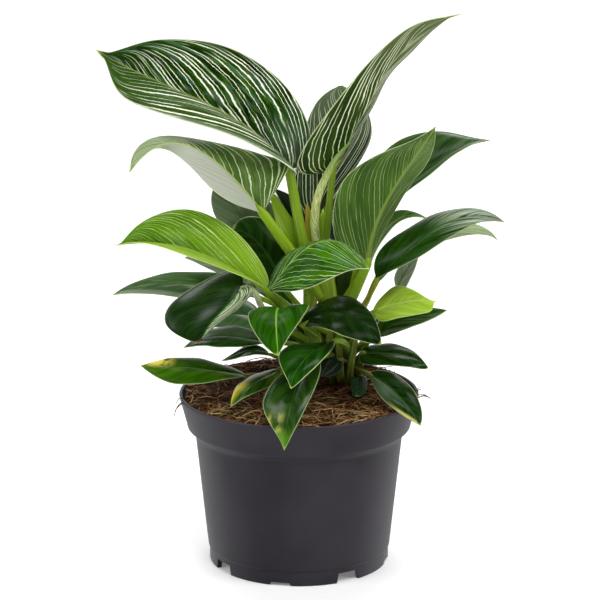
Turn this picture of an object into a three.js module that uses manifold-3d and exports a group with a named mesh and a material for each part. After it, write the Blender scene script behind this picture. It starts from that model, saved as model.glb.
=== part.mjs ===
// A philodendron birkin in a plain round nursery pot. Millimetres, +Z up.
// The origin lies on the pot's axis at the height of its foot. -Y is the front.
import * as THREE from 'three';
import Module from 'manifold-3d';

const wasm = await Module();
wasm.setup();

// Pot: outer radii and heights, from the foot to the rim
const potHeight = 87;
const rimTopRadius = 60;
const rimLowRadius = 56.2;
const rimLowHeight = 71;
const neckRadius = 51.9;
const neckHeight = 65;
const bodyLowRadius = 45.9;
const footHeight = 8;
const footRadius = 45.2;
const footRingWidth = 2.4;
const footEdge = 0.7;
const footDraft = 0.8;
const rimEdge = 0.7;
const potWall = 1.6;
const potFloor = 6.4;
const potFacets = 40;

// Notches in the foot ring: deep drain slots and shallow ones, in turn
const notchCount = 8;
const firstNotch = THREE.MathUtils.degToRad(-57);
const deepNotch = { height: 5, width: 13 };
const shallowNotch = { height: 1.5, width: 11 };

// Soil: a fill with a low mound where the plant stands, and crumbs as waves over it
const seatGap = 0.3;
const soilEdgeHeight = 84.6;
const moundHeight = 2;
const moundSpread = 15;
const crumbHeight = 0.7;
const crumbWaves = [[0.61, 0.53, 0.8], [0.9, -1.1, 2]];
const soilFacets = 32;
const soilRings = 7;

// Stem: stands in a plain hole in the soil, then leans to the left and forward
const stemFoot = [25, 27, 60];
const stemPath = [stemFoot, [25, 27, 86], [21, 21, 104], [15, 14, 124], [11, 10, 144], [10, 9, 152]];
const stemRadii = [5.5, 5.5, 5.2, 4.8, 4, 3];
const stemSides = 8;
const stemSteps = 9;
const stalkSides = 5;
const stalkSteps = 5;

// Blades
const bladeThickness = 0.8;
const bladeArch = 0.08;
const halfColumns = 2;
const smallRows = 7;
const largeRows = 11;
const baseStart = 0.003;
const tipEnd = 0.99;
const defaultRound = 0.5;
const defaultTaper = 0.9;

// The furled young leaf: a slim twisted cone beside the highest stalks
const furledPath = [[10, 9, 152.4], [8, 4, 169], [9, 1, 185], [14, -2, 199], [19, -3, 208], [25, -3, 215]];
const furledRadii = [2, 2.6, 2.6, 2.3, 1.6, 0.5];
const furledLap = 0.14;
const furledTwist = 5;
const furledSides = 8;
const furledSteps = 10;

// Each leaf, seen on its upper face from base to tip:
//   rib    the midrib, through points at even steps from base to tip
//   right  how far the right margin lies from the midrib where the blade is widest; three
//   left   vectors are for the base, middle and tip thirds, so a blade can twist and fold
//   round, taper  how bluntly the blade starts, and how sharply it ends
//   stalk  the leaf stalk's points before the blade, from its root in the stem
//   thick  the stalk's radius at its root and at the blade; flat widens its section
//   look   the leaf's colour, dark where none is given
const leaves = [
  { name: 'leaf_01', look: 'striped', rows: largeRows, round: 0.45, taper: 0.95,
    rib: [[-5, 4, 200], [-32, 0, 226], [-66, -4, 244], [-98, -10, 262]],
    right: [[23, 9, 14], [21, 15, 22], [23, 15, 28]],
    left: [[4, -17, -5], [-6, -23, -5], [-13, -26, -13]],
    stalk: [[10, 10, 138], [5, 6, 155], [1, 4, 176]], thick: [3, 1.8] },
  { name: 'leaf_02', look: 'striped', rows: largeRows, round: 0.5, taper: 0.9,
    rib: [[-18, -4, 180], [-36, -12, 203], [-58, -20, 218], [-81, -30, 206]],
    right: [[23, 9, 7], [14, 19, -1], [-3, 15, 7]],
    left: [[-6, -15, -3], [-3, -15, -10], [-2, 8, -5]],
    stalk: [[9, 10, 134], [-3, 4, 156], [-11, -1, 169]], thick: [2.8, 2], flat: 2 },
  { name: 'leaf_03', look: 'striped', rows: largeRows, round: 0.5, taper: 0.8,
    rib: [[17, 8, 199], [32, 4, 229], [51, 0, 261], [79, -8, 279]],
    right: [[2, 20, -4], [1, 14, -3], [5, 10, -4]],
    left: [[-26, -7, -4], [-13, -4, 2], [-9, -3, 6]],
    stalk: [[11, 12, 138], [13, 10, 160], [15, 9, 180]], thick: [2.2, 1.5] },
  { name: 'leaf_04', look: 'striped', rows: largeRows, round: 0.5, taper: 0.8,
    rib: [[9, 16, 174], [16, 24, 194], [22, 30, 215], [21, 34, 236]],
    right: [[17, 7, 11], [17, 6, 5], [18, 7, 3]],
    left: [[-18, 2, 4], [-18, 2, 6], [-26, 3, 4]],
    stalk: [[12, 13, 138], [11, 16, 158]], thick: [2.2, 1.6] },
  { name: 'leaf_05', look: 'striped', rows: largeRows, round: 0.5, taper: 0.9,
    rib: [[34, 2, 152], [40, 0, 178], [52, -4, 201], [66, -10, 224]],
    right: [[-22, -4, 7], [-21, -4, 12], [-19, -4, 7]],
    left: [[7, 9, 1], [11, 11, 2], [14, 11, -3]],
    stalk: [[17, 15, 116], [26, 8, 134]], thick: [3, 2.2] },
  { name: 'leaf_06', rows: largeRows, round: 0.5, taper: 0.9,
    rib: [[36, 20, 175], [56, 23, 190], [76, 19, 205], [96, 12, 213]],
    right: [[2, -11, 0], [2, -13, 1], [2, -13, 3]],
    left: [[-12, 13, 13], [-8, 15, 14], [-7, 15, 7]],
    stalk: [[13, 13, 136], [24, 18, 154]], thick: [2.2, 1.5] },
  { name: 'leaf_07', rows: largeRows, round: 0.5, taper: 0.9,
    rib: [[39, -2, 145], [54, -6, 162], [75, -10, 177], [100, -16, 178]],
    right: [[3, -9, 0], [6, -13, -2], [3, -15, -3]],
    left: [[-6, 11, 6], [-4, 15, 3], [-1, 15, 5]],
    stalk: [[18, 16, 112], [30, 8, 126]], thick: [2, 1.4] },
  { name: 'leaf_08', look: 'pale', rows: smallRows,
    rib: [[44, 10, 152], [60, 16, 160], [82, 16, 166], [99, 12, 162]],
    right: [[1, -6, -2]], left: [[1, 9, 3]],
    stalk: [[19, 18, 110], [32, 12, 127], [38, 11, 141]], thick: [1.8, 1.2] },
  { name: 'leaf_09', look: 'bright', rows: smallRows,
    rib: [[35, 14, 150], [41, 16, 163], [51, 14, 173], [65, 8, 173]],
    right: [[1, -6, 0]], left: [[-2, 8, 3]],
    stalk: [[18, 16, 116], [28, 14, 134]], thick: [1.8, 1.2] },
  { name: 'leaf_10', look: 'pale', rows: smallRows,
    rib: [[50, 18, 134], [52, 20, 140], [56, 20, 147], [61, 18, 157]],
    right: [[3, -4, -1]], left: [[-3, 4, 3]],
    stalk: [[22, 22, 100], [36, 20, 118]], thick: [1.8, 1.2] },
  { name: 'leaf_11', look: 'lime', rows: smallRows,
    rib: [[37, -6, 130], [47, -8, 134], [57, -12, 137], [68, -16, 138]],
    right: [[1, -9, -5], [2, -8, -5], [5, -8, -8]],
    left: [[-1, 9, 5], [-1, 8, 7], [-2, 8, 4]],
    stalk: [[21, 19, 104], [30, 5, 120]], thick: [1.8, 1.3] },
  { name: 'leaf_12', rows: smallRows,
    rib: [[39, -2, 117], [49, -6, 125], [60, -10, 129], [73, -14, 133]],
    right: [[2, -6, -3]], left: [[-3, 11, 4]],
    stalk: [[23, 22, 98], [32, 9, 108]], thick: [1.8, 1.2] },
  { name: 'leaf_13', rows: largeRows, round: 0.45, taper: 0.7,
    rib: [[2, -18, 126], [16, -26, 135], [30, -32, 132], [40, -36, 122]],
    right: [[0, -11, -4], [-4, -14, -6], [-6, -9, -7]],
    left: [[-1, 13, 3], [2, 16, 5], [3, 9, 7]],
    stalk: [[17, 15, 112], [9, 0, 121], [3, -12, 126]], thick: [1.8, 1.3] },
  { name: 'leaf_14', look: 'bright', rows: largeRows, round: 0.6, taper: 0.8,
    rib: [[-16, -10, 141], [-4, -14, 157], [13, -18, 169], [34, -16, 155]],
    right: [[5, -10, -7], [6, -12, -15], [6, -10, -19]],
    left: [[-3, 10, 2], [-2, 10, -1], [4, 13, -6]],
    stalk: [[13, 13, 110], [1, 4, 124], [-8, -6, 133]], thick: [2, 1.4] },
  { name: 'leaf_15', look: 'bright', rows: largeRows, round: 0.5, taper: 0.8,
    rib: [[-5, -10, 128], [-10, -26, 137], [-11, -42, 134], [-10, -52, 121]],
    right: [[-14, 0, 0], [-14, 0, -3], [-13, 0, -6]],
    left: [[15, 0, 2], [13, 0, -2], [9, 0, -4]],
    stalk: [[14, 14, 108], [4, 2, 120]], thick: [2, 1.4] },
  { name: 'leaf_16', look: 'bright', rows: largeRows, round: 0.5, taper: 0.7,
    rib: [[17, -22, 120], [8, -34, 118], [0, -46, 113], [-4, -54, 105]],
    right: [[-6, 5, 0], [-12, 6, 3], [-9, 3, 4]],
    left: [[5, -5, -1], [6, -6, -1], [6, -3, -2]],
    stalk: [[23, 23, 98], [24, 4, 108], [22, -12, 116]], thick: [1.8, 1.3] },
  { name: 'leaf_17', rows: largeRows, round: 0.5, taper: 0.9,
    rib: [[3, -22, 109], [-1, -44, 102], [-5, -62, 93], [-7, -76, 81]],
    right: [[-11, 0, 1], [-15, 0, 0], [-12, 0, 1]],
    left: [[11, 0, 5], [10, 0, 4], [10, 0, 4]],
    stalk: [[23, 24, 94], [16, 6, 104], [8, -12, 108]], thick: [1.8, 1.3] },
  { name: 'leaf_18', rows: largeRows, round: 0.5, taper: 0.9,
    rib: [[-27, -10, 98], [-45, -22, 105], [-62, -30, 109], [-77, -36, 111]],
    right: [[1, 9, 1], [1, 11, 2], [4, 11, 3]],
    left: [[1, -9, -2], [0, -11, -6], [2, -11, -10]],
    stalk: [[23, 26, 92], [4, 8, 96], [-14, -4, 97]], thick: [1.8, 1.2] },
  { name: 'leaf_19', rows: smallRows,
    rib: [[-10, -12, 102], [-18, -24, 101], [-26, -34, 99], [-33, -42, 92]],
    right: [[-6, 6, -1]], left: [[4, -4, -3]],
    stalk: [[23, 25, 94], [6, 2, 100]], thick: [1.6, 1.1] },
  { name: 'leaf_20', rows: largeRows, round: 0.5, taper: 0.8,
    rib: [[35, -4, 97], [44, -20, 96], [52, -34, 91], [59, -44, 83]],
    right: [[-4, -4, -2], [-6, -4, -3], [-4, -3, -4]],
    left: [[4, 4, 4], [6, 4, 4], [8, 3, 4]],
    stalk: [[26, 25, 92], [29, 10, 96]], thick: [1.8, 1.2] },
  { name: 'leaf_21', rows: smallRows, round: 0.5, taper: 0.8,
    rib: [[32, 4, 106], [42, 0, 107], [54, -6, 107], [64, -12, 103]],
    right: [[-3, -4, -6], [0, -8, -4], [1, -7, -6]],
    left: [[-1, 9, 2], [0, 8, 3], [-1, 7, 4]],
    stalk: [[26, 25, 93], [29, 14, 99]], thick: [1.8, 1.2] },
  { name: 'leaf_22', rows: largeRows, round: 0.5, taper: 0.9,
    rib: [[-22, 6, 135], [-46, 2, 142], [-69, -2, 144], [-92, -8, 139]],
    right: [[0, 9, 5], [-1, 13, 2], [-2, 15, 1]],
    left: [[0, -9, -3], [0, -13, -5], [2, -15, -4]],
    stalk: [[14, 15, 104], [-5, 10, 125]], thick: [1.8, 1.2] },
  { name: 'leaf_23', rows: largeRows, round: 0.4, taper: 0.6,
    rib: [[-28, -18, 146], [-35, -28, 139], [-42, -34, 133], [-48, -40, 124]],
    right: [[-14, 9, 9], [-26, 4, 1], [-24, 0, -3]],
    left: [[3, 13, -4], [1, 12, -5], [0, 9, -4]],
    stalk: [[14, 15, 104], [-6, 0, 120], [-17, -12, 132], [-22, -16, 143]], thick: [2, 1.4] },
  { name: 'leaf_24', rows: smallRows, round: 0.5, taper: 0.7,
    rib: [[-18, -8, 115], [-31, -16, 120], [-44, -24, 122], [-56, -32, 119]],
    right: [[-1, 9, 4], [-1, 10, 2], [0, 9, 1]],
    left: [[1, -9, -2], [0, -10, -3], [3, -9, -2]],
    stalk: [[20, 21, 96], [0, 4, 110]], thick: [1.8, 1.2] },
  { name: 'leaf_25', rows: smallRows,
    rib: [[-15, -12, 110], [-23, -18, 114], [-30, -22, 113], [-38, -28, 111]],
    right: [[0, 8, 0]], left: [[1, -6, -1]],
    stalk: [[22, 23, 95], [2, 2, 104], [-8, -8, 107]], thick: [1.5, 1.1] },
  { name: 'leaf_26', rows: smallRows,
    rib: [[-18, 12, 120], [-26, 16, 122], [-35, 20, 121], [-45, 22, 114]],
    right: [[-1, 8, 6]], left: [[1, -8, -7]],
    stalk: [[17, 17, 98], [-2, 14, 112]], thick: [1.8, 1.2] },
  { name: 'leaf_27', look: 'lime', rows: largeRows, round: 0.5, taper: 0.8,
    rib: [[-17, -14, 144], [-41, -20, 160], [-65, -24, 169], [-89, -28, 169]],
    right: [[12, 7, 10], [8, 8, 17], [7, 7, 21]],
    left: [[-1, -9, 1], [-1, -8, -1], [-1, -7, 1]],
    stalk: [[14, 14, 108], [-1, -2, 125], [-9, -10, 134]], thick: [2, 1.4] },
  { name: 'leaf_28', rows: smallRows, round: 0.5, taper: 0.7,
    rib: [[-7, 0, 140], [-13, 4, 152], [-21, 6, 163], [-33, 8, 169]],
    right: [[8, 4, 4], [10, 6, 4], [9, 8, 11]],
    left: [[-9, 4, -7], [-13, 4, -7], [-16, 6, -7]],
    stalk: [[13, 14, 112], [2, 4, 128]], thick: [1.8, 1.3] },
  { name: 'leaf_29', look: 'pale', rows: smallRows,
    rib: [[-17, 14, 162], [-25, 16, 170], [-33, 18, 179], [-42, 20, 188]],
    right: [[12, 4, 8]], left: [[-14, -2, 0]],
    stalk: [[12, 12, 130], [-3, 14, 148]], thick: [1.8, 1.2] },
  { name: 'leaf_30', rows: smallRows,
    rib: [[1, 12, 165], [-4, 13, 172], [-7, 13, 180], [-13, 15, 188]],
    right: [[7, 0, 4]], left: [[-2, -4, -1]],
    stalk: [[12, 13, 134], [6, 14, 150]], thick: [1.6, 1.1] },
  { name: 'leaf_31', look: 'pale', rows: smallRows,
    rib: [[-24, 6, 143], [-35, 6, 148], [-46, 8, 152], [-57, 8, 154]],
    right: [[1, 6, 4]], left: [[-1, -6, -2]],
    stalk: [[13, 14, 110], [-6, 8, 130]], thick: [1.6, 1.1] },
  { name: 'leaf_32', rows: smallRows,
    rib: [[31, 10, 92], [30, 3, 91], [30, -3, 89], [29, -9, 87]],
    right: [[-4, 0, 0]], left: [[4, 0, 0]],
    stalk: [[26, 25, 90], [29, 18, 93]], thick: [1.4, 1.1] },
  { name: 'leaf_33', rows: smallRows,
    rib: [[20, 2, 103], [17, -2, 101], [14, -6, 99], [11, -10, 98]],
    right: [[-5, 2, 2]], left: [[4, -2, -2]],
    stalk: [[24, 24, 94], [22, 10, 100]], thick: [1.5, 1.1] },
  // leaves at the back, seen from behind the plant
  { name: 'leaf_34', look: 'striped', rows: smallRows,
    rib: [[20, 32, 156], [27, 46, 168], [34, 60, 172], [40, 73, 164]],
    right: [[11, -6, -2]], left: [[-11, 6, -2]],
    stalk: [[13, 13, 130], [16, 22, 146]], thick: [2, 1.3] },
  { name: 'leaf_35', look: 'striped', rows: smallRows,
    rib: [[4, 28, 142], [-6, 42, 152], [-15, 56, 157], [-24, 70, 152]],
    right: [[10, 7, -1]], left: [[-10, -7, -1]],
    stalk: [[14, 15, 118], [10, 22, 132]], thick: [2, 1.3] },
  { name: 'leaf_36', look: 'bright', rows: smallRows,
    rib: [[-4, 24, 124], [-18, 36, 134], [-30, 46, 136], [-42, 54, 130]],
    right: [[6, 8, 0]], left: [[-6, -8, -1]],
    stalk: [[17, 18, 102], [6, 22, 114]], thick: [1.8, 1.2] },
  { name: 'leaf_37', rows: smallRows,
    rib: [[34, 30, 106], [42, 36, 114], [50, 42, 116], [60, 46, 110]],
    right: [[5, -8, 0]], left: [[-5, 8, 0]],
    stalk: [[24, 26, 94], [29, 28, 100]], thick: [1.8, 1.2] },
  { name: 'leaf_38', rows: smallRows,
    rib: [[28, 36, 106], [32, 50, 113], [34, 62, 110], [34, 74, 98]],
    right: [[11, -2, -2]], left: [[-10, 2, -2]],
    stalk: [[24, 27, 93], [26, 32, 100]], thick: [1.8, 1.2] },
  { name: 'leaf_39', rows: smallRows,
    rib: [[14, 36, 104], [8, 50, 110], [2, 62, 107], [-3, 74, 96]],
    right: [[10, 3, -2]], left: [[-10, -4, -2]],
    stalk: [[23, 27, 93], [18, 31, 99]], thick: [1.8, 1.2] },
  { name: 'leaf_40', rows: smallRows,
    rib: [[0, 30, 104], [-12, 42, 112], [-24, 52, 112], [-36, 58, 104]],
    right: [[6, 8, -1]], left: [[-6, -8, -1]],
    stalk: [[22, 26, 94], [10, 27, 100]], thick: [1.8, 1.2] },
  { name: 'leaf_41', look: 'striped', rows: smallRows,
    rib: [[12, 26, 170], [14, 40, 186], [18, 54, 194], [22, 66, 190]],
    right: [[11, -3, -2]], left: [[-11, 3, -2]],
    stalk: [[12, 13, 134], [12, 19, 154]], thick: [2, 1.3] },
];

const material = (color, roughness) => new THREE.MeshStandardMaterial({ color, roughness, metalness: 0 });
const potPlastic = material(0x35343a, 0.62);
const soilBrown = material(0x3a241a, 0.95);
const leafLooks = {
  striped: material(0x5e7849, 0.45),
  dark: material(0x1f3b22, 0.3),
  bright: material(0x2f6a25, 0.3),
  lime: material(0x8fb52e, 0.4),
  pale: material(0x8a9a72, 0.6),
};
const stalkGreen = material(0x7d9a2c, 0.5);
const furledGreen = material(0xb9c58c, 0.5);

// An indexed closed surface as a manifold solid. A surface that came out inside out is turned.
function solidFrom(points, triangles) {
  let volume = 0;
  for (const [a, b, c] of triangles) {
    volume += points[a].dot(new THREE.Vector3().crossVectors(points[b], points[c]));
  }
  const turned = volume < 0 ? triangles.map(([a, b, c]) => [a, c, b]) : triangles;
  return new wasm.Manifold(new wasm.Mesh({
    numProp: 3,
    vertProperties: new Float32Array(points.flatMap((point) => point.toArray())),
    triVerts: new Uint32Array(turned.flat()),
  }));
}

function meshFrom(solid, name, look) {
  const { vertProperties, numProp, triVerts } = solid.getMesh();
  const positions = [];
  for (let i = 0; i < vertProperties.length; i += numProp) {
    positions.push(vertProperties[i], vertProperties[i + 1], vertProperties[i + 2]);
  }
  const geometry = new THREE.BufferGeometry();
  geometry.setAttribute('position', new THREE.Float32BufferAttribute(positions, 3));
  geometry.setIndex([...triVerts]);
  geometry.computeVertexNormals();
  const mesh = new THREE.Mesh(geometry, look);
  mesh.name = name;
  return mesh;
}

// A closed profile [radius, height] turned round the Z axis. Points on the axis become poles.
function turnedSolid(profile, facets, shift = () => 0) {
  const points = [];
  const rings = profile.map(([radius, height]) => {
    const first = points.length;
    const count = radius === 0 ? 1 : facets;
    for (let k = 0; k < count; k += 1) {
      const angle = (2 * Math.PI * k) / facets;
      const x = radius * Math.cos(angle);
      const y = radius * Math.sin(angle);
      points.push(new THREE.Vector3(x, y, height + shift(x, y, radius, height)));
    }
    return { first, count };
  });
  const triangles = [];
  const closed = profile[0][0] !== 0;
  const spans = closed ? rings.length : rings.length - 1;
  for (let i = 0; i < spans; i += 1) {
    const low = rings[i];
    const high = rings[(i + 1) % rings.length];
    for (let k = 0; k < facets; k += 1) {
      const next = (k + 1) % facets;
      const a = low.first + (low.count === 1 ? 0 : k);
      const b = low.first + (low.count === 1 ? 0 : next);
      const c = high.first + (high.count === 1 ? 0 : k);
      const d = high.first + (high.count === 1 ? 0 : next);
      if (low.count > 1) triangles.push([a, b, d]);
      if (high.count > 1) triangles.push([a, d, c]);
    }
  }
  return solidFrom(points, triangles);
}

// A tube along a smooth path, with a radius at each path point, closed at both ends.
// flat widens its section sideways; ridge lifts the surface along a turning line.
function tubeSolid(path, radii, sides, steps, { flat = 1, ridge = () => 1 } = {}) {
  const curve = new THREE.CatmullRomCurve3(path.map((point) => new THREE.Vector3(...point)));
  const frames = curve.computeFrenetFrames(steps, false);
  const points = [];
  for (let i = 0; i <= steps; i += 1) {
    const along = (i / steps) * (radii.length - 1);
    const before = Math.min(Math.floor(along), radii.length - 2);
    const radius = THREE.MathUtils.lerp(radii[before], radii[before + 1], along - before);
    const centre = curve.getPointAt(i / steps);
    const across = new THREE.Vector3(0, 1, 0).cross(frames.tangents[i]).normalize();
    const outward = new THREE.Vector3().crossVectors(frames.tangents[i], across);
    for (let k = 0; k < sides; k += 1) {
      const angle = (2 * Math.PI * k) / sides;
      const reach = radius * ridge(angle, i / steps);
      points.push(centre.clone()
        .addScaledVector(across, flat * reach * Math.cos(angle))
        .addScaledVector(outward, reach * Math.sin(angle)));
    }
  }
  const triangles = [];
  for (let i = 0; i < steps; i += 1) {
    for (let k = 0; k < sides; k += 1) {
      const a = i * sides + k;
      const b = i * sides + ((k + 1) % sides);
      triangles.push([a, b, b + sides], [a, b + sides, a + sides]);
    }
  }
  const last = steps * sides;
  for (let k = 1; k < sides - 1; k += 1) {
    triangles.push([0, k + 1, k], [last, last + k, last + k + 1]);
  }
  return solidFrom(points, triangles);
}

// The smooth curve through points that sit at the given places, read at u (Lagrange's formula)
function curveThrough(values, places, u) {
  const sum = new THREE.Vector3();
  values.forEach((value, i) => {
    let share = 1;
    places.forEach((place, j) => {
      if (j !== i) share *= (u - place) / (places[i] - place);
    });
    sum.addScaledVector(new THREE.Vector3(...value), share);
  });
  return sum;
}

const ribPlaces = [0, 1 / 3, 2 / 3, 1];
const sidePlaces = { 1: [0.5], 3: [0.2, 0.5, 0.8] };

// Half width along the blade: it grows as u^round, ends as (1 - u)^taper, and is 1 at its widest
function halfWidth(u, round, taper) {
  const widest = round / (round + taper);
  return (u / widest) ** round * ((1 - u) / (1 - widest)) ** taper;
}

// The blade's middle surface. Rows run base to tip, closer together at the ends; columns run
// from the left margin over the midrib to the right one. Each half arches up between them.
function bladeGrid({ rib, right, left, rows, round = defaultRound, taper = defaultTaper }) {
  const grid = [];
  for (let i = 0; i <= rows; i += 1) {
    const u = 0.5 - 0.5 * Math.cos((Math.PI * i) / rows);
    const middle = curveThrough(rib, ribPlaces, u);
    const ahead = curveThrough(rib, ribPlaces, u + 0.01)
      .sub(curveThrough(rib, ribPlaces, u - 0.01)).normalize();
    const width = halfWidth(THREE.MathUtils.clamp(u, baseStart, tipEnd), round, taper);
    const row = [];
    for (let j = -halfColumns; j <= halfColumns; j += 1) {
      const side = j < 0 ? left : right;
      const share = Math.abs(j) / halfColumns;
      const reach = curveThrough(side, sidePlaces[side.length], u).multiplyScalar(width);
      const up = new THREE.Vector3().crossVectors(reach, ahead).normalize();
      const rise = bladeArch * 4 * share * (1 - share) * reach.length() * (j < 0 ? -1 : 1);
      row.push(middle.clone().addScaledVector(reach, share).addScaledVector(up, rise));
    }
    grid.push(row);
  }
  return grid;
}

// The blade as a closed solid: its middle surface moved half the thickness up and down, with
// the same diagonals on both faces. grow widens it past its margins as well.
function bladeSolid(leaf, thickness, grow = 0) {
  const grid = bladeGrid(leaf);
  const rows = grid.length;
  const columns = grid[0].length;
  const { clamp } = THREE.MathUtils;
  const pointAt = (i, j) => grid[clamp(i, 0, rows - 1)][clamp(j, 0, columns - 1)];
  const faces = [[], []];
  for (let i = 0; i < rows; i += 1) {
    const ahead = pointAt(i + 1, halfColumns).clone().sub(pointAt(i - 1, halfColumns)).normalize();
    for (let j = 0; j < columns; j += 1) {
      const along = pointAt(i + 1, j).clone().sub(pointAt(i - 1, j));
      const across = pointAt(i, j + 1).clone().sub(pointAt(i, j - 1));
      const normal = new THREE.Vector3().crossVectors(across, along).normalize();
      const margin = (j === columns - 1) - (j === 0);
      const end = (i === rows - 1) - (i === 0);
      const point = pointAt(i, j).clone()
        .addScaledVector(across.normalize(), grow * margin)
        .addScaledVector(ahead, grow * end);
      faces[0].push(point.clone().addScaledVector(normal, thickness / 2));
      faces[1].push(point.addScaledVector(normal, -thickness / 2));
    }
  }
  const under = faces[0].length;
  const triangles = [];
  for (let i = 0; i < rows - 1; i += 1) {
    for (let j = 0; j < columns - 1; j += 1) {
      const a = i * columns + j;
      const [b, c, d] = [a + 1, a + columns + 1, a + columns];
      triangles.push([a, b, c], [a, c, d]);
      triangles.push([under + a, under + c, under + b], [under + a, under + d, under + c]);
    }
  }
  const edge = [];
  for (let j = 0; j < columns; j += 1) edge.push(j);
  for (let i = 1; i < rows; i += 1) edge.push(i * columns + columns - 1);
  for (let j = columns - 2; j >= 0; j -= 1) edge.push((rows - 1) * columns + j);
  for (let i = rows - 2; i > 0; i -= 1) edge.push(i * columns);
  edge.forEach((a, k) => {
    const b = edge[(k + 1) % edge.length];
    triangles.push([b, a, under + a], [b, under + a, under + b]);
  });
  return solidFrom([...faces[0], ...faces[1]], triangles);
}

// A box as a solid, for the notches
function boxSolid(width, depth, height, place) {
  const half = new THREE.Vector3(width, depth, height).divideScalar(2);
  const points = [];
  for (const z of [-1, 1]) {
    for (const [x, y] of [[-1, -1], [1, -1], [1, 1], [-1, 1]]) {
      points.push(new THREE.Vector3(x, y, z).multiply(half).applyMatrix4(place));
    }
  }
  const triangles = [[0, 2, 1], [0, 3, 2], [4, 5, 6], [4, 6, 7]];
  for (let k = 0; k < 4; k += 1) {
    const next = (k + 1) % 4;
    triangles.push([k, next, next + 4], [k, next + 4, k + 4]);
  }
  return solidFrom(points, triangles);
}

// The pot's outer line from the neck to the rim: a short curve, then the straight rim band
const flare = [
  [neckRadius, neckHeight], [neckRadius + 1.4, neckHeight + 3],
  [rimLowRadius - 1, rimLowHeight - 1.4], [rimLowRadius, rimLowHeight]];

function makePot() {
  const innerFoot = footRadius - footRingWidth;
  const outside = [
    [innerFoot, 0], [footRadius - footEdge, 0], [footRadius, footEdge],
    [footRadius, footHeight - footEdge], [bodyLowRadius, footHeight],
    ...flare, [rimTopRadius, potHeight - rimEdge], [rimTopRadius - rimEdge, potHeight]];
  const inside = [
    [rimTopRadius - potWall, potHeight], [rimLowRadius - potWall, rimLowHeight],
    [neckRadius - potWall, neckHeight], [bodyLowRadius - potWall, footHeight], [0, footHeight]];
  const below = [[0, potFloor], [innerFoot - footDraft, potFloor]];
  let pot = turnedSolid([...below, ...outside, ...inside], potFacets);
  for (let k = 0; k < notchCount; k += 1) {
    const notch = k % 2 === 0 ? deepNotch : shallowNotch;
    const place = new THREE.Matrix4().makeRotationZ(firstNotch + (k * 2 * Math.PI) / notchCount);
    place.multiply(new THREE.Matrix4().makeTranslation(footRadius, 0, 0));
    pot = pot.subtract(boxSolid(3 * footRingWidth, notch.width, 2 * notch.height, place));
  }
  return meshFrom(pot, 'pot', potPlastic);
}

// Height of the mound and the crumbs over the level fill
function soilRise(x, y) {
  const fromStem = Math.hypot(x - stemFoot[0], y - stemFoot[1]);
  let rise = moundHeight * Math.exp(-((fromStem / moundSpread) ** 2));
  for (const [alongX, alongY, start] of crumbWaves) {
    rise += crumbHeight * Math.sin(alongX * x + start) * Math.cos(alongY * y + start);
  }
  return rise;
}

function makeSoil() {
  const innerNeck = neckRadius - potWall - seatGap;
  const innerLow = bodyLowRadius - potWall - seatGap;
  const innerRim = rimLowRadius - potWall - seatGap;
  const edgeShare = (soilEdgeHeight - rimLowHeight) / (potHeight - rimLowHeight);
  const edgeRadius = innerRim + (rimTopRadius - rimLowRadius) * edgeShare - 2 * crumbHeight;
  const profile = [
    [0, footHeight + seatGap], [innerLow, footHeight + seatGap], [innerNeck, neckHeight + seatGap],
    [innerRim, rimLowHeight + seatGap], [edgeRadius, soilEdgeHeight]];
  for (let k = 1; k < soilRings; k += 1) {
    profile.push([edgeRadius * (1 - k / soilRings), soilEdgeHeight]);
  }
  profile.push([0, soilEdgeHeight]);
  const rise = (x, y, radius, height) => (height === soilEdgeHeight ? soilRise(x, y) : 0);
  const holeFoot = [stemFoot[0], stemFoot[1], stemFoot[2] - seatGap];
  const holeRadii = stemRadii.map((radius) => radius + seatGap);
  const hole = tubeSolid([holeFoot, ...stemPath.slice(1)], holeRadii, stemSides, stemSteps);
  return meshFrom(turnedSolid(profile, soilFacets, rise).subtract(hole), 'soil', soilBrown);
}

// The stem and every leaf stalk, grown together as one body. A stalk stops short of its blade,
// and what lies too close to a blade or the furled leaf is cut clear.
function makeStemAndStalks() {
  let stem = tubeSolid(stemPath, stemRadii, stemSides, stemSteps);
  for (const leaf of leaves) {
    const base = new THREE.Vector3(...leaf.rib[0]);
    const back = base.clone().sub(curveThrough(leaf.rib, ribPlaces, 0.03)).normalize();
    const end = base.addScaledVector(back, seatGap).toArray();
    const steps = leaf.stalk.length < 3 ? stalkSteps - 2 : stalkSteps;
    stem = stem.add(tubeSolid([...leaf.stalk, end], leaf.thick, stalkSides, steps, { flat: leaf.flat }));
  }
  for (const leaf of leaves) {
    stem = stem.subtract(bladeSolid(leaf, bladeThickness + 2 * seatGap, seatGap));
    stem = stem.subtract(bladeSolid(leaf, bladeThickness));
  }
  stem = stem.subtract(furledSolid(seatGap));
  const [largest] = stem.decompose().sort((a, b) => b.volume() - a.volume());
  return meshFrom(largest, 'stem_and_leaf_stalks', stalkGreen);
}

function furledSolid(grow) {
  const lap = (angle, along) => 1 + furledLap * Math.cos(angle - furledTwist * along);
  const radii = furledRadii.map((radius) => radius + grow);
  return tubeSolid(furledPath, radii, furledSides, furledSteps, { ridge: lap });
}

const plant = new THREE.Group();
plant.add(makePot(), makeSoil(), makeStemAndStalks());
plant.add(meshFrom(furledSolid(0), 'furled_leaf', furledGreen));
for (const leaf of leaves) {
  plant.add(meshFrom(bladeSolid(leaf, bladeThickness), leaf.name, leafLooks[leaf.look ?? 'dark']));
}

export default plant;
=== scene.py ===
# A philodendron birkin in a plain nursery pot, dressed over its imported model.
# Shapes are worked out in millimetres; buildMesh() puts them into metres. -Y is the front.
import math

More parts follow.
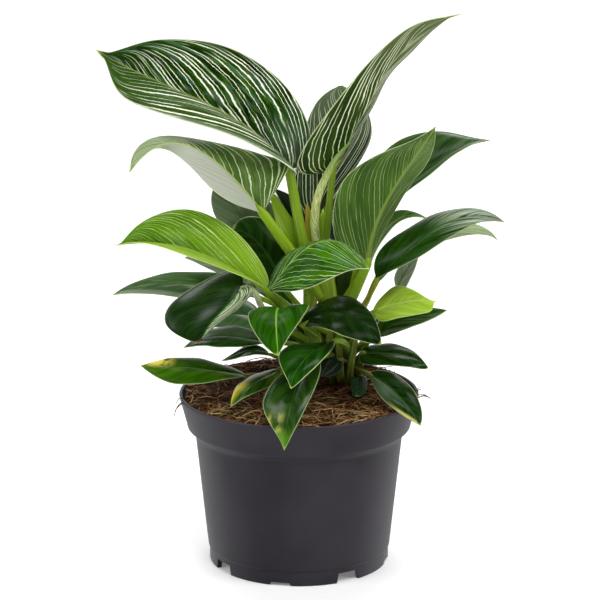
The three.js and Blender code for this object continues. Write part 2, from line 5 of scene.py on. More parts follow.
import bpy
import numpy as np
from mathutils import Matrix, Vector


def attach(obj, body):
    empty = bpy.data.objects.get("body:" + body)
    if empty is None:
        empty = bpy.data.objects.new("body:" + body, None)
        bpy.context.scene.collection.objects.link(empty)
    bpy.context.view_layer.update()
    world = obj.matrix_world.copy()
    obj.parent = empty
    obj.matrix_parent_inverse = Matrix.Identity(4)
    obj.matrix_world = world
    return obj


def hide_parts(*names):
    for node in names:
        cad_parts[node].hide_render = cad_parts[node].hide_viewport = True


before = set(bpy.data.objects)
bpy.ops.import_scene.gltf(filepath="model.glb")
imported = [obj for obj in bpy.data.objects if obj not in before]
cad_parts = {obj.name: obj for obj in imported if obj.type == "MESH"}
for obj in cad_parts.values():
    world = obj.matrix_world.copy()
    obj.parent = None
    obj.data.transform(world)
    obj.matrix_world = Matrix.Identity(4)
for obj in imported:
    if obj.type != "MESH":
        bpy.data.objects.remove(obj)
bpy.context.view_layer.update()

print("frame loaded, nodes:", len(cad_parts))

camera = {
    "target": (0.53, 0, 134.41), "distance": 1400, "lookDown": 15.11,  # mm and degrees
    "lens": 169.14, "sensor": 36, "farthest": 200,
}
studio = {
    "floor": "#f6f6f6", "floorSize": 40000, "floorGlow": 0.16, "floorRoughness": 0.9, "floorGloss": 0.1,
    "ambient": 0.05, "backWall": 0.85, "wallFront": (-0.1, 0.3), "wallTop": (0.35, 0.7),
    "softboxes": {  # direction in degrees (-90 is the front), height and radius in degrees, brightness
        "front": {"azimuth": -72, "height": 60, "radius": 5, "glow": 7},
        "overhead": {"azimuth": 97, "height": 66, "radius": 20, "glow": 5},
        "left": {"azimuth": 206, "height": 32, "radius": 16, "glow": 1.7},
        "right": {"azimuth": -22, "height": 32, "radius": 16, "glow": 1.8},
    },
    "softEdge": 4,
    "fills": {  # soft lamps that don't show in reflections, as wide as angle, in degrees
        "front": {"azimuth": -72, "height": 60, "angle": 28, "power": 1.05},
        "left": {"azimuth": 206, "height": 32, "angle": 32, "power": 0.75},
        "right": {"azimuth": -22, "height": 32, "angle": 32, "power": 0.8},
    },
}


def linear(hexColour):
    parts = [int(hexColour[k:k + 2], 16) / 255 for k in (1, 3, 5)]
    return [p / 12.92 if p <= 0.04045 else ((p + 0.055) / 1.055) ** 2.4 for p in parts] + [1]


def makeCamera():
    tilt = math.radians(camera["lookDown"])
    away = Vector((0, -math.cos(tilt), math.sin(tilt))) * camera["distance"]
    data = bpy.data.cameras.new("camera")
    data.lens = camera["lens"]
    data.sensor_width = camera["sensor"]
    data.clip_end = camera["farthest"]
    eye = bpy.data.objects.new("camera", data)
    eye.location = (Vector(camera["target"]) + away) / 1000
    eye.rotation_euler = (-away).to_track_quat("-Z", "Y").to_euler()
    bpy.context.scene.collection.objects.link(eye)
    bpy.context.scene.camera = eye


class Value:
    # wraps a socket, so that an expression on values adds its Math nodes
    def __init__(self, graph, socket):
        self.graph = graph
        self.socket = socket

    def __add__(self, other):
        return self.graph.math("ADD", self, other)

    def __radd__(self, other):
        return self.graph.math("ADD", other, self)

    def __sub__(self, other):
        return self.graph.math("SUBTRACT", self, other)

    def __rsub__(self, other):
        return self.graph.math("SUBTRACT", other, self)

    def __mul__(self, other):
        return self.graph.math("MULTIPLY", self, other)

    def __rmul__(self, other):
        return self.graph.math("MULTIPLY", other, self)

    def __truediv__(self, other):
        return self.graph.math("DIVIDE", self, other)

    def __abs__(self):
        return self.graph.math("ABSOLUTE", self)

    def rising(self, low, high):  # 0 below low, 1 above high, smooth between
        settings = {"interpolation_type": "SMOOTHSTEP"}
        return self.graph.node("ShaderNodeMapRange", settings, {0: self, 1: low, 2: high, 3: 0, 4: 1})


class Graph:
    # one node tree; node() makes any node from its type, its settings and its socket values
    def __init__(self, tree):
        self.tree = tree
        tree.nodes.clear()

    def node(self, kind, settings=None, values=None, output=0):
        made = self.tree.nodes.new(kind)
        for key, setting in (settings or {}).items():
            if key == "stops":
                self.setStops(made.color_ramp, setting)
            else:
                setattr(made, key, setting)
        for key, value in (values or {}).items():
            if isinstance(value, Value):
                self.tree.links.new(value.socket, made.inputs[key])
            else:
                made.inputs[key].default_value = value
        return Value(self, made.outputs[output]) if made.outputs else made

    def setStops(self, ramp, stops):
        while len(ramp.elements) < len(stops):
            ramp.elements.new(1)
        for element, (place, colour) in zip(ramp.elements, stops):
            element.position, element.color = place, linear(colour)

    def math(self, operation, *values):
        return self.node("ShaderNodeMath", {"operation": operation}, dict(enumerate(values)))

    def attribute(self, name):
        return self.node("ShaderNodeAttribute", {"attribute_name": name}, output=2)

    def vector(self, x, y, z=0.0):
        return self.node("ShaderNodeCombineXYZ", None, {0: x, 1: y, 2: z})

    def place(self):
        return self.node("ShaderNodeTexCoord", output=3)

    def noise(self, vector, scale=1.0, detail=2.0, roughness=0.5):
        values = {"Vector": vector, "Scale": scale, "Detail": detail, "Roughness": roughness}
        return self.node("ShaderNodeTexNoise", None, values)

    def drawn(self, cell):  # a random share that stays the same all over a cell
        return self.node("ShaderNodeTexWhiteNoise", {"noise_dimensions": "1D"}, {1: cell})

    def ramp(self, factor, stops):
        return self.node("ShaderNodeValToRGB", {"stops": stops}, {0: factor})

    def mix(self, factor, low, high):  # colours are values or hex texts
        low, high = [linear(colour) if isinstance(colour, str) else colour for colour in (low, high)]
        return self.node("ShaderNodeMix", {"data_type": "RGBA"}, {0: factor, 6: low, 7: high}, output=2)

    def bump(self, height, strength, distance):
        values = {"Height": height, "Strength": strength, "Distance": distance}
        return self.node("ShaderNodeBump", None, values)


def newMaterial(name, roughness, gloss=0.5):
    # returns the material, its graph and the inputs of its shader
    material = bpy.data.materials.new(name)
    material.use_nodes = True
    graph = Graph(material.node_tree)
    values = {"Roughness": roughness, "Specular IOR Level": gloss}
    shader = graph.node("ShaderNodeBsdfPrincipled", None, values)
    graph.node("ShaderNodeOutputMaterial", None, {"Surface": shader})
    return material, graph, shader.socket.node.inputs


def feed(inputs, **values):
    for name, value in values.items():
        socket = inputs[name.replace("_", " ")]
        value.graph.tree.links.new(value.socket, socket)


def buildMesh(name, points, faces, attributes=None, sharpAngle=None, slot=None, material=None):
    # faces is a list of index arrays, each with 3 or 4 corners a row
    sizes = np.concatenate([np.full(len(group), group.shape[1]) for group in faces])
    corners = np.concatenate([group.ravel() for group in faces]).astype(np.int32)
    mesh = bpy.data.meshes.new(name)
    mesh.vertices.add(len(points))
    mesh.vertices.foreach_set("co", (np.asarray(points) / 1000).ravel())
    mesh.loops.add(len(corners))
    mesh.loops.foreach_set("vertex_index", corners)
    mesh.polygons.add(len(sizes))
    mesh.polygons.foreach_set("loop_start", np.concatenate([[0], np.cumsum(sizes)[:-1]]))
    mesh.polygons.foreach_set("use_smooth", np.ones(len(sizes), dtype=bool))
    mesh.update(calc_edges=True)
    for key, values in (attributes or {}).items():
        mesh.attributes.new(key, "FLOAT", "POINT").data.foreach_set("value", np.ravel(values))
    if sharpAngle:
        mesh.set_sharp_from_angle(angle=math.radians(sharpAngle))
    piece = bpy.data.objects.new(name, mesh)
    bpy.context.scene.collection.objects.link(piece)
    if material:
        mesh.materials.append(material)
        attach(piece, "root")
    return piece


def unit(vectors):
    return vectors / np.maximum(np.linalg.norm(vectors, axis=-1, keepdims=True), 1e-9)


def gridFaces(rows, columns, wrap=False):
    # quads over a grid of points, row by row; wrap joins the last column to the first
    i, j = np.meshgrid(np.arange(rows - 1), np.arange(columns if wrap else columns - 1), indexing="ij")
    a = (i * columns + j).ravel()
    b = (i * columns + (j + 1) % columns).ravel()
    return np.stack([a, b, b + columns, a + columns], 1)


def ringFaces(rings, sides):
    # a wall of rings one after another, closed at both ends to the two points that follow them
    k = np.arange(sides)
    after = (k + 1) % sides
    count, last = rings * sides, (rings - 1) * sides
    start = np.stack([np.full(sides, count), after, k], 1)
    end = np.stack([np.full(sides, count + 1), last + k, last + after], 1)
    return [gridFaces(rings, sides, wrap=True), np.vstack([start, end])]


def lagrange(places, u):
    # one column for each place: the weight of its value at u
    weights = np.ones((len(u), len(places)))
    for i, place in enumerate(places):
        for other in places[:i] + places[i + 1:]:
            weights[:, i] *= (u - other) / (place - other)
    return weights


def evenly(values, count):
    # count values read off at even steps from a short list, in straight lines
    return np.interp(np.linspace(0, 1, count), np.linspace(0, 1, len(values)), values)


def smoothPath(points, count):
    # Catmull-Rom curve through the points, read off at even steps along its length
    p = np.array(points, dtype=float)
    p = np.vstack([2 * p[0] - p[1], p, 2 * p[-1] - p[-2]])
    t = np.linspace(0, len(p) - 3, 400)
    k = np.minimum(t.astype(int), len(p) - 4)
    f = (t - k)[:, None]
    a, b, c, d = p[k], p[k + 1], p[k + 2], p[k + 3]
    curve = 0.5 * (2 * b + (c - a) * f + (2 * a - 5 * b + 4 * c - d) * f ** 2
                   + (3 * b - a - 3 * c + d) * f ** 3)
    length = np.concatenate([[0], np.cumsum(np.linalg.norm(np.diff(curve, axis=0), axis=1))])
    steps = np.linspace(0, length[-1], count)
    return np.stack([np.interp(steps, length, curve[:, axis]) for axis in range(3)], 1)


def tubeAlong(path, radii, sides, hint, section=None, flat=1.0):
    # rings of points round a path: radius times section(angle, share of the path), angle 0
    # on the side that hint points to; both ends are closed with a point
    count = len(path)
    ahead = unit(np.gradient(path, axis=0))
    across = unit(np.cross(np.broadcast_to(hint, ahead.shape), ahead))
    upper = np.cross(ahead, across)
    angle = np.linspace(0, 2 * math.pi, sides, endpoint=False)[None, :, None]
    share = np.linspace(0, 1, count)[:, None, None]
    reach = np.asarray(radii)[:, None, None] * (section(angle, share) if section else 1)
    ring = (path[:, None] + reach * (np.cos(angle) * upper[:, None]
                                     + flat * np.sin(angle) * across[:, None]))
    points = np.vstack([ring.reshape(-1, 3), path[:1], path[-1:]])
    around = np.concatenate([np.tile(angle.ravel(), count), [0, 0]])
    along = np.concatenate([np.repeat(share.ravel(), sides), [0, 1]])
    return points, ringFaces(count, sides), {"around": around, "along": along}


def joined(parts):
    # several (points, faces, attributes) as one
    points, quads, tris, attributes, start = [], [], [], {}, 0
    for part, faces, values in parts:
        points.append(part)
        quads.append(faces[0] + start)
        tris.append(faces[1] + start)
        for key, value in values.items():
            attributes.setdefault(key, []).append(value)
        start += len(part)
    attributes = {key: np.concatenate(value) for key, value in attributes.items()}
    return np.vstack(points), [np.vstack(quads), np.vstack(tris)], attributes


def waves(x, y, size, count, seed):
    # rough relief between about -1 and 1: a sum of sine waves in random directions
    chance = np.random.default_rng(seed)
    total = np.zeros(np.broadcast(x, y).shape)
    turns = chance.uniform(0, 2 * math.pi, count)
    starts = chance.uniform(0, 6.28, count)
    scales = chance.uniform(0.7, 1.6, count)
    for turn, start, scale in zip(turns, starts, scales):
        total += np.sin((x * math.cos(turn) + y * math.sin(turn)) * scale * 2 * math.pi / size + start)
    return total / math.sqrt(count)


def makeFloor():
    side = studio["floorSize"]
    corners = np.array([[-side, -side, 0], [side, -side, 0], [side, side, 0], [-side, side, 0]])
    floor = buildMesh("floor", corners, [np.array([[0, 1, 2, 3]])])
    material, graph, inputs = newMaterial("paleFloor", studio["floorRoughness"], studio["floorGloss"])
    inputs["Base Color"].default_value = linear(studio["floor"])
    inputs["Emission Color"].default_value = (1, 1, 1, 1)
    inputs["Emission Strength"].default_value = studio["floorGlow"]
    floor.data.materials.append(material)
    floor.visible_glossy = False  # what is dark and smooth mirrors the dim front instead


def towards(lamp):
    turn, lift = math.radians(lamp["azimuth"]), math.radians(lamp["height"])
    return Vector((math.cos(lift) * math.cos(turn), math.cos(lift) * math.sin(turn), math.sin(lift)))


def makeLights():
    # soft round lamps and a white wall behind, all far away, drawn by direction in the world
    world = bpy.data.worlds.new("studio")
    bpy.context.scene.world = world
    world.use_nodes = True
    sky = Graph(world.node_tree)
    direction = sky.node("ShaderNodeTexCoord", output=0)
    depth = sky.node("ShaderNodeSeparateXYZ", None, {0: direction}, output=1)
    height = sky.node("ShaderNodeSeparateXYZ", None, {0: direction}, output=2)
    wall = studio["backWall"] * depth.rising(*studio["wallFront"]) * (1 - height.rising(*studio["wallTop"]))
    glow = studio["ambient"] + wall
    for box in studio["softboxes"].values():
        values = {0: direction, 1: towards(box)}
        facing = sky.node("ShaderNodeVectorMath", {"operation": "DOT_PRODUCT"}, values, output=1)
        edges = [math.cos(math.radians(box["radius"] + soft * studio["softEdge"])) for soft in (1, -1)]
        glow = glow + box["glow"] * facing.rising(*edges)
    light = sky.node("ShaderNodeBackground", None, {"Color": (1, 1, 1, 1), "Strength": glow})
    sky.node("ShaderNodeOutputWorld", None, {"Surface": light})
    for name, fill in studio["fills"].items():
        data = bpy.data.lights.new(name + "Fill", "SUN")
        data.energy = fill["power"]
        data.angle = math.radians(fill["angle"])
        lamp = bpy.data.objects.new(name + "Fill", data)
        lamp.location = towards(fill)
        lamp.rotation_euler = towards(fill).to_track_quat("Z", "Y").to_euler()
        lamp.visible_glossy = False
        bpy.context.scene.collection.objects.link(lamp)
    bpy.context.scene.view_settings.view_transform = "Standard"


pot = {  # the profile is (radius, height), from under the floor out, up the wall and down inside
    "below": [(42.2, 6.4), (42.3, 5.9)],
    "outside": [(42.8, 0), (44.5, 0), (45.0, 0.2), (45.2, 0.7), (45.2, 6.9), (45.3, 7.6), (45.6, 7.95),
                (45.9, 8.2), (46, 9), (51.8, 64), (51.9, 65), (52.1, 66.4), (52.8, 67.9), (54.1, 69.1),
                (55.2, 69.8), (55.9, 70.4), (56.15, 71), (56.3, 72), (59.85, 85.6), (59.97, 86.3),
                (59.85, 86.75), (59.5, 87)],
    "inside": [(58.9, 87), (58.5, 86.8), (58.3, 86.3), (54.6, 71), (50.3, 65), (44.3, 9), (43.6, 8.1),
               (43, 8)],
    "floorHeights": (6.4, 8), "columns": 240, "footRadius": 45.2, "footHeight": 7,
    "notches": 8, "firstNotch": -57, "deep": (5, 13), "shallow": (1.5, 11), "cheek": 0.9,
    "colour": "#2f2c32", "sheen": "#37343b", "roughness": 0.45, "gloss": 0.4,
    "grain": 2600, "grainDepth": 0.0002, "cloud": 22,
}


def notchLift():
    # the directions of the profile, with one at each edge of a notch, and how far the foot is
    # pressed up there: the notch's depth, falling to 0 over its cheeks
    degrees = [np.linspace(0, 360, pot["columns"], endpoint=False)]
    slope = math.degrees(pot["cheek"] / pot["footRadius"])
    notches = []
    for k in range(pot["notches"]):
        depth, width = pot["deep"] if k % 2 == 0 else pot["shallow"]
        middle = (pot["firstNotch"] + 360 * k / pot["notches"]) % 360
        half = math.degrees(width / 2 / pot["footRadius"])
        notches.append((middle, half, depth))
        edges = [middle - half, middle - half + slope, middle + half - slope, middle + half]
        degrees.append(np.array(edges) % 360)
    theta = np.unique(np.concatenate(degrees).round(3))
    lift = np.zeros(len(theta))
    for middle, half, depth in notches:
        off = np.abs((theta - middle + 180) % 360 - 180)
        lift = np.maximum(lift, depth * np.clip((half - off) / slope, 0, 1))
    return np.radians(theta), lift


def makePot():
    # a closed profile (radius, height) turned round Z; in each notch the foot's heights are
    # squeezed between the notch's depth and the foot's top
    angle, lift = notchLift()
    profile = np.array(pot["below"] + pot["outside"] + pot["inside"])
    radius, height = profile[:, :1], profile[:, 1:]
    top = pot["footHeight"]
    raised = np.where(height < top, lift + height * (1 - lift / top), height)
    below = len(pot["below"])
    raised[:below] = height[:below]
    ring = np.stack([radius * np.cos(angle), radius * np.sin(angle), raised], -1).reshape(-1, 3)
    points = np.vstack([ring, [[0, 0, height] for height in pot["floorHeights"]]])
    material, graph, inputs = newMaterial("potPlastic", pot["roughness"], pot["gloss"])
    grain = graph.noise(graph.place(), pot["grain"], 2)
    cloud = graph.noise(graph.place(), pot["cloud"], 3)
    feed(inputs, Base_Color=graph.mix(cloud.rising(0.35, 0.65), pot["colour"], pot["sheen"]),
         Roughness=pot["roughness"] + 0.12 * (grain - 0.5) + 0.06 * (cloud - 0.5),
         Normal=graph.bump(grain, 0.12, pot["grainDepth"]))
    piece = buildMesh("nurseryPot", points, ringFaces(len(profile), len(angle)), sharpAngle=40,
                      slot="pot_plastic", material=material)
    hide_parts("pot")


soil = {
    "edgeRadius": 57.3, "edgeHeight": 84.6, "stem": (25, 27), "mound": 4.2, "spread": 15, "backRise": 1.8,
    "relief": [(9, 0.5), (3.6, 0.45), (1.6, 0.3)],  # wave size and height of each layer
    "wall": [(2, 8.3), (43.6, 8.3), (50, 65.3), (54.2, 71.3)],  # radius and height, from below
    "rings": 84, "columns": 260, "clumps": 420, "clumpDepth": 0.0008,
    "crumbs": {"count": 1200, "size": 0.9, "above": -0.1},
    "perlite": {"count": 24, "size": 0.75, "above": 0.3},
    "dark": "#120905", "brown": "#402814",
    "fibreTones": [(0, "#120905"), (0.3, "#402814"), (0.5, "#8c5730"), (0.68, "#b98a55"),
                   (0.78, "#85804a"), (0.9, "#cfa46c"), (1, "#e0c08a")],
    "crumbTones": [(0, "#1b0f08"), (0.7, "#4a2d17"), (1, "#7c5730")],
    "perliteTones": ("#b9b2a4", "#e9e4da"),
    "overhang": [  # start and end of each fibre that sticks out over the rim
        ((57, -12, 86), (63, -16, 90)), ((57, -12, 86), (66, -14, 87)), ((57.5, -10, 86), (60.5, -13, 93)),
        ((57, -13, 86), (65, -17, 88.5)), ((57.5, -8, 86), (61, -10, 91)),
        ((-56.5, -16, 86.5), (-61.5, -17, 82)), ((-56.5, -17, 86.5), (-62, -19, 79.5)),
        ((-57, -12, 86.5), (-61, -14, 85)), ((-50, -27, 86), (-53, -29, 88))],
    "overhangRadius": 0.36, "overhangTone": 0.4,
}
fibres = {  # straws are the share that is longer, thicker, higher and lighter than the rest
    "count": 3700, "steps": 7, "length": 3.4, "shortest": 3, "longest": 26, "radius": 0.11,
    "radiusSpread": 0.13, "bend": 0.09, "stiff": 0.65, "lift": 0.6, "highest": 3, "tilt": 1.8,
    "loose": 1.2, "tone": 0.56, "patchSize": 26,
    "straws": 0.17, "longer": 5, "thicker": 0.1, "higher": 0.6, "lighter": 0.36,
}


def groundHeight(x, y):
    # level fill, a mound round the stem, a rise towards the back wall, and layers of crumbs
    fromStem = np.hypot(x - soil["stem"][0], y - soil["stem"][1])
    height = soil["edgeHeight"] - 0.4 + soil["mound"] * np.exp(-(fromStem / soil["spread"]) ** 2)
    height = height + soil["backRise"] * np.clip((np.hypot(x, y) - 42) / 14, 0, 1) * np.clip(y / 20, 0, 1)
    for seed, (size, rise) in enumerate(soil["relief"]):
        height = height + rise * waves(x, y, size, 14, seed)
    return height


def strands(paths, radii, sides=3):
    # thin closed tubes, all at once: paths is (tube, step, 3) and radii (tube, step)
    tubes, steps = radii.shape
    ahead = unit(np.gradient(paths, axis=1))
    across = unit(np.cross(ahead, [0, 0, 1.0]) + 1e-6)
    upper = np.cross(across, ahead)
    angle = np.linspace(0, 2 * math.pi, sides, endpoint=False)[None, None, :, None]
    ring = (paths[:, :, None] + radii[:, :, None, None] * (np.cos(angle) * across[:, :, None]
                                                           + np.sin(angle) * upper[:, :, None]))
    start = (np.arange(tubes) * steps * sides)[:, None, None]
    quads = (gridFaces(steps, sides, wrap=True)[None, :, ::-1] + start).reshape(-1, 4)
    first = np.arange(sides)[None]
    caps = np.concatenate([first, first[:, ::-1] + (steps - 1) * sides])
    return ring.reshape(-1, 3), [quads, (caps[None] + start).reshape(-1, sides)]


def makeFibres(chance):
    # each fibre runs both ways from its middle at t = 0 in its direction, sideways by
    # 2 * bend * t^2, and up by lift * cos(pi * t)^2 + tilt * t over ground that it follows stiffly
    count, steps = fibres["count"], fibres["steps"]
    radius = soil["edgeRadius"] * np.sqrt(chance.uniform(0, 0.98, count))
    turn = chance.uniform(0, 2 * math.pi, count)
    heading = chance.uniform(0, 2 * math.pi, count)[:, None]
    straw = chance.uniform(0, 1, count) < fibres["straws"]
    length = chance.gamma(3, fibres["length"], count).clip(fibres["shortest"], fibres["longest"])
    length = length + fibres["longer"] * straw
    t = np.linspace(-0.5, 0.5, steps)[None]
    bend = chance.normal(0, fibres["bend"], count) * length
    forward, aside = length[:, None] * t, bend[:, None] * t * t * 2
    x = (radius * np.cos(turn))[:, None] + forward * np.cos(heading) - aside * np.sin(heading)
    y = (radius * np.sin(turn))[:, None] + forward * np.sin(heading) + aside * np.cos(heading)
    inside = np.minimum(1, (soil["edgeRadius"] - 0.4) / np.hypot(x, y))
    x, y = x * inside, y * inside
    lift = chance.gamma(1.3, fibres["lift"], count).clip(0, fibres["highest"])[:, None]
    lift = lift * np.cos(math.pi * t) ** 2 + chance.normal(0, fibres["tilt"], count)[:, None] * t
    ground = groundHeight(x, y)
    level = ground.mean(axis=1, keepdims=True)
    ground = (1 - fibres["stiff"]) * ground + fibres["stiff"] * level
    loose = chance.uniform(0, fibres["loose"], count) + fibres["higher"] * straw
    z = ground + loose[:, None] + lift
    thick = fibres["radius"] + fibres["radiusSpread"] * chance.uniform(0, 1, count)
    thick = (thick + fibres["thicker"] * straw)[:, None] * (1 - 1.2 * t * t)
    points, faces = strands(np.stack([x, y, z], -1), thick)
    middleX, middleY = x[:, steps // 2], y[:, steps // 2]
    # painted light and shade: each fibre is drawn lighter towards the front of the pot and darker towards
    # the back
    light = 0.48 + 0.8 * np.clip(0.52 - middleY / 85, 0.4, 1)  # lightest at the front
    patches = 1 + 0.2 * waves(middleX, middleY, fibres["patchSize"], 8, 3)
    tone = chance.uniform(0, fibres["tone"], count) + fibres["lighter"] * straw
    return points, faces, np.repeat((tone * light * patches).clip(0, 1), steps * 3)


def makeOverhang(chance):
    # a few fibres that stick out over the rim, each a straight line bent up and sideways
    a, b = [np.array(ends, dtype=float)[:, None] for ends in zip(*soil["overhang"])]
    t = np.linspace(0, 1, 8)[None, :, None]
    side = unit(np.cross(b - a, [0, 0, 1.0])) * chance.normal(0, 1.1, len(a))[:, None, None]
    paths = a + (b - a) * t + (side + [0, 0, 1.6]) * np.sin(math.pi * t)
    thick = np.broadcast_to(soil["overhangRadius"] * (1 - 0.4 * t[..., 0]), paths.shape[:2])
    points, faces = strands(paths, thick)
    return points, faces, np.full(len(points), soil["overhangTone"])


def makeLumps(chance, count, size, above):
    # small faceted lumps: an octahedron's corners scaled and turned at random
    corners = np.array([[1.0, 0, 0], [0, 1, 0], [-1, 0, 0], [0, -1, 0], [0, 0, 1], [0, 0, -1]])
    sides = np.array([[0, 1, 4], [1, 2, 4], [2, 3, 4], [3, 0, 4],
                      [1, 0, 5], [2, 1, 5], [3, 2, 5], [0, 3, 5]])
    # they lie anywhere on the ground, a little in from its edge
    radius = (soil["edgeRadius"] - 1.2) * np.sqrt(chance.uniform(0, 1, count))
    turn = chance.uniform(0, 2 * math.pi, count)
    x, y = radius * np.cos(turn), radius * np.sin(turn)
    scale = chance.gamma(4, size / 4, count).clip(0.3, 2.2)[:, None, None]
    shape = corners[None] * chance.uniform(0.55, 1, (count, 6, 1)) * scale
    spin = np.linalg.qr(chance.normal(size=(count, 3, 3)))[0]
    spin[np.linalg.det(spin) < 0, :, 0] *= -1
    place = np.stack([x, y, groundHeight(x, y) + above], -1)[:, None]
    points = (shape @ spin.transpose(0, 2, 1) + place).reshape(-1, 3)
    faces = (sides[None] + 6 * np.arange(count)[:, None, None]).reshape(-1, 3)
    return points, [faces], np.repeat(chance.uniform(0, 1, count), 6)


def makeFill():
    # a closed turned body: under side, wall, and rings of points at the ground's height on top
    angle = np.radians(np.linspace(0, 360, soil["columns"], endpoint=False))[None]
    wall = np.array(soil["wall"] + [(soil["edgeRadius"] - 0.15, soil["edgeHeight"] - 2)])
    rings = np.linspace(soil["edgeRadius"], 1, soil["rings"])
    radius = np.concatenate([wall[:, 0], rings])[:, None]
    x, y = radius * np.cos(angle), radius * np.sin(angle)
    z = groundHeight(x, y)
    z[:len(wall)] = wall[:, 1:]
    middle = [[0, 0, wall[0, 1]], [0, 0, groundHeight(np.zeros(1), np.zeros(1))[0]]]
    points = np.vstack([np.stack([x, y, z], -1).reshape(-1, 3), middle])
    material, graph, inputs = newMaterial("pottingSoil", roughness=0.95)
    clumps = graph.noise(graph.place(), soil["clumps"], 5, 0.7)
    feed(inputs, Base_Color=graph.mix(clumps.rising(0.4, 0.68), soil["dark"], soil["brown"]),
         Normal=graph.bump(clumps, 0.7, soil["clumpDepth"]))
    piece = buildMesh("soilFill", points, ringFaces(*z.shape), slot="potting_soil", material=material)
    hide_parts("soil")


def makeSoil():
    makeFill()
    chance = np.random.default_rng(11)
    points, faces, tone = makeFibres(chance)
    morePoints, moreFaces, moreTone = makeOverhang(chance)
    faces = [np.vstack([a, b + len(points)]) for a, b in zip(faces, moreFaces)]
    material, graph, inputs = newMaterial("coirFibre", roughness=0.8)
    shade = graph.noise(graph.place(), 300, 2).rising(0.35, 0.75) * 0.35
    ramp = graph.ramp(graph.attribute("tone"), soil["fibreTones"])
    feed(inputs, Base_Color=graph.mix(shade, ramp, soil["brown"]))
    buildMesh("soilFibres", np.vstack([points, morePoints]), faces,
              {"tone": np.concatenate([tone, moreTone])}, slot="potting_soil", material=material)

    points, faces, tone = makeLumps(chance, **soil["crumbs"])
    material, graph, inputs = newMaterial("soilCrumbs", roughness=0.95)
    feed(inputs, Base_Color=graph.ramp(graph.attribute("tone"), soil["crumbTones"]))
    buildMesh("soilCrumbs", points, faces, {"tone": tone}, slot="potting_soil", material=material)

    points, faces, tone = makeLumps(chance, **soil["perlite"])
    material, graph, inputs = newMaterial("perlite", roughness=0.9)
    feed(inputs, Base_Color=graph.mix(graph.noise(graph.place(), 900, 2), *soil["perliteTones"]))
    buildMesh("perliteBits", points, faces, slot="potting_soil", material=material)


common = {  # what a leaf has unless its look or its own entry says otherwise
    # blade: how blunt at the base, how fast it tapers, its bulge, its midrib's groove, its sway
    "round": 0.5, "taper": 0.9, "arch": 0.08, "groove": 0.35, "sway": 0,
    # stalk: radius at root and tip, width over height, and 1 where flushed yellow, 2 where pale
    "thick": [1.8, 1.2], "flat": 1.0, "stalkFlush": 0.0,
    # stripes: fine ones' half width and room, how they waver, and how the veins bend at the tip
    "fineStripe": 0.13, "finePerLine": 3, "fineRoom": 1, "steady": 0.3, "drift": 0.06, "wander": 0.03,
    "grit": 0.007, "jag": 0.3, "tipSweep": 0.2,
    # midrib, margin, tip and under side: how wide they are and how much they show
    "ribTip": 0.2, "ribGrowth": 0.65, "ribWide": 1, "ribShow": 0.8, "edgeRange": (0.12, 0.5),
    "edgeWide": 1, "edgeShow": 0.85, "tipRange": (0.955, 1), "tipShow": 0.8, "underShare": 0.6,
    "underRough": 0.2, "blotchRough": 0.12, "reliefDepth": 0.0006,
}
looks = {  # lines is how many veins a unit of the vein field has, stripe a half width in mm
    "striped": {
        "deep": "#0b1f02", "fresh": "#1b3a07", "line": "#e8efd4", "midrib": "#93ab42", "edge": "#cfdba6",
        "under": "#75835a", "tip": "#8ba552", "lines": 9, "stripe": 0.36, "amount": 1, "fine": 0.45,
        "broad": 0.14, "sweep": 0.62, "crowd": 1.6, "quilt": 0.045, "relief": 0.16, "roughness": 0.34,
        "gloss": 0.2},
    "dark": {
        "deep": "#0f2904", "fresh": "#1d400a", "line": "#486a34", "midrib": "#2a4f12", "edge": "#a5b97a",
        "under": "#5b6c4c", "tip": "#8ba552", "lines": 15, "stripe": 0.3, "amount": 0.08, "fine": 0.08,
        "broad": 0, "sweep": 0.6, "crowd": 1.2, "quilt": 0.02, "relief": 0.08, "roughness": 0.24,
        "gloss": 0.3},
    "bright": {
        "deep": "#0f3601", "fresh": "#225503", "line": "#b9d58c", "midrib": "#4f8018", "edge": "#bfd48c",
        "under": "#6d8a48", "tip": "#9cc22e", "lines": 15, "stripe": 0.22, "amount": 0.06, "fine": 0.05,
        "broad": 0, "sweep": 0.6, "crowd": 1.2, "quilt": 0.025, "relief": 0.1, "roughness": 0.24,
        "gloss": 0.2},
    "lime": {
        "deep": "#355f01", "fresh": "#4f7f05", "line": "#d3de86", "midrib": "#a3bf42", "edge": "#c4dc80",
        "under": "#93ab58", "tip": "#b9c95a", "lines": 8, "stripe": 0.17, "amount": 0.7, "fine": 0.25,
        "broad": 0, "sweep": 0.7, "crowd": 1.2, "quilt": 0.045, "relief": 0.16, "roughness": 0.34,
        "gloss": 0.1},
    "pale": {
        "deep": "#4a5a3c", "fresh": "#657452", "line": "#8b9a72", "midrib": "#8b9a66", "edge": "#98a67c",
        "under": "#748465", "tip": "#a3b05c", "lines": 15, "stripe": 0.2, "amount": 0.15, "fine": 0.1,
        "broad": 0, "sweep": 0.6, "crowd": 1.2, "quilt": 0.03, "relief": 0.12, "roughness": 0.45,
        "gloss": 0.2},
}
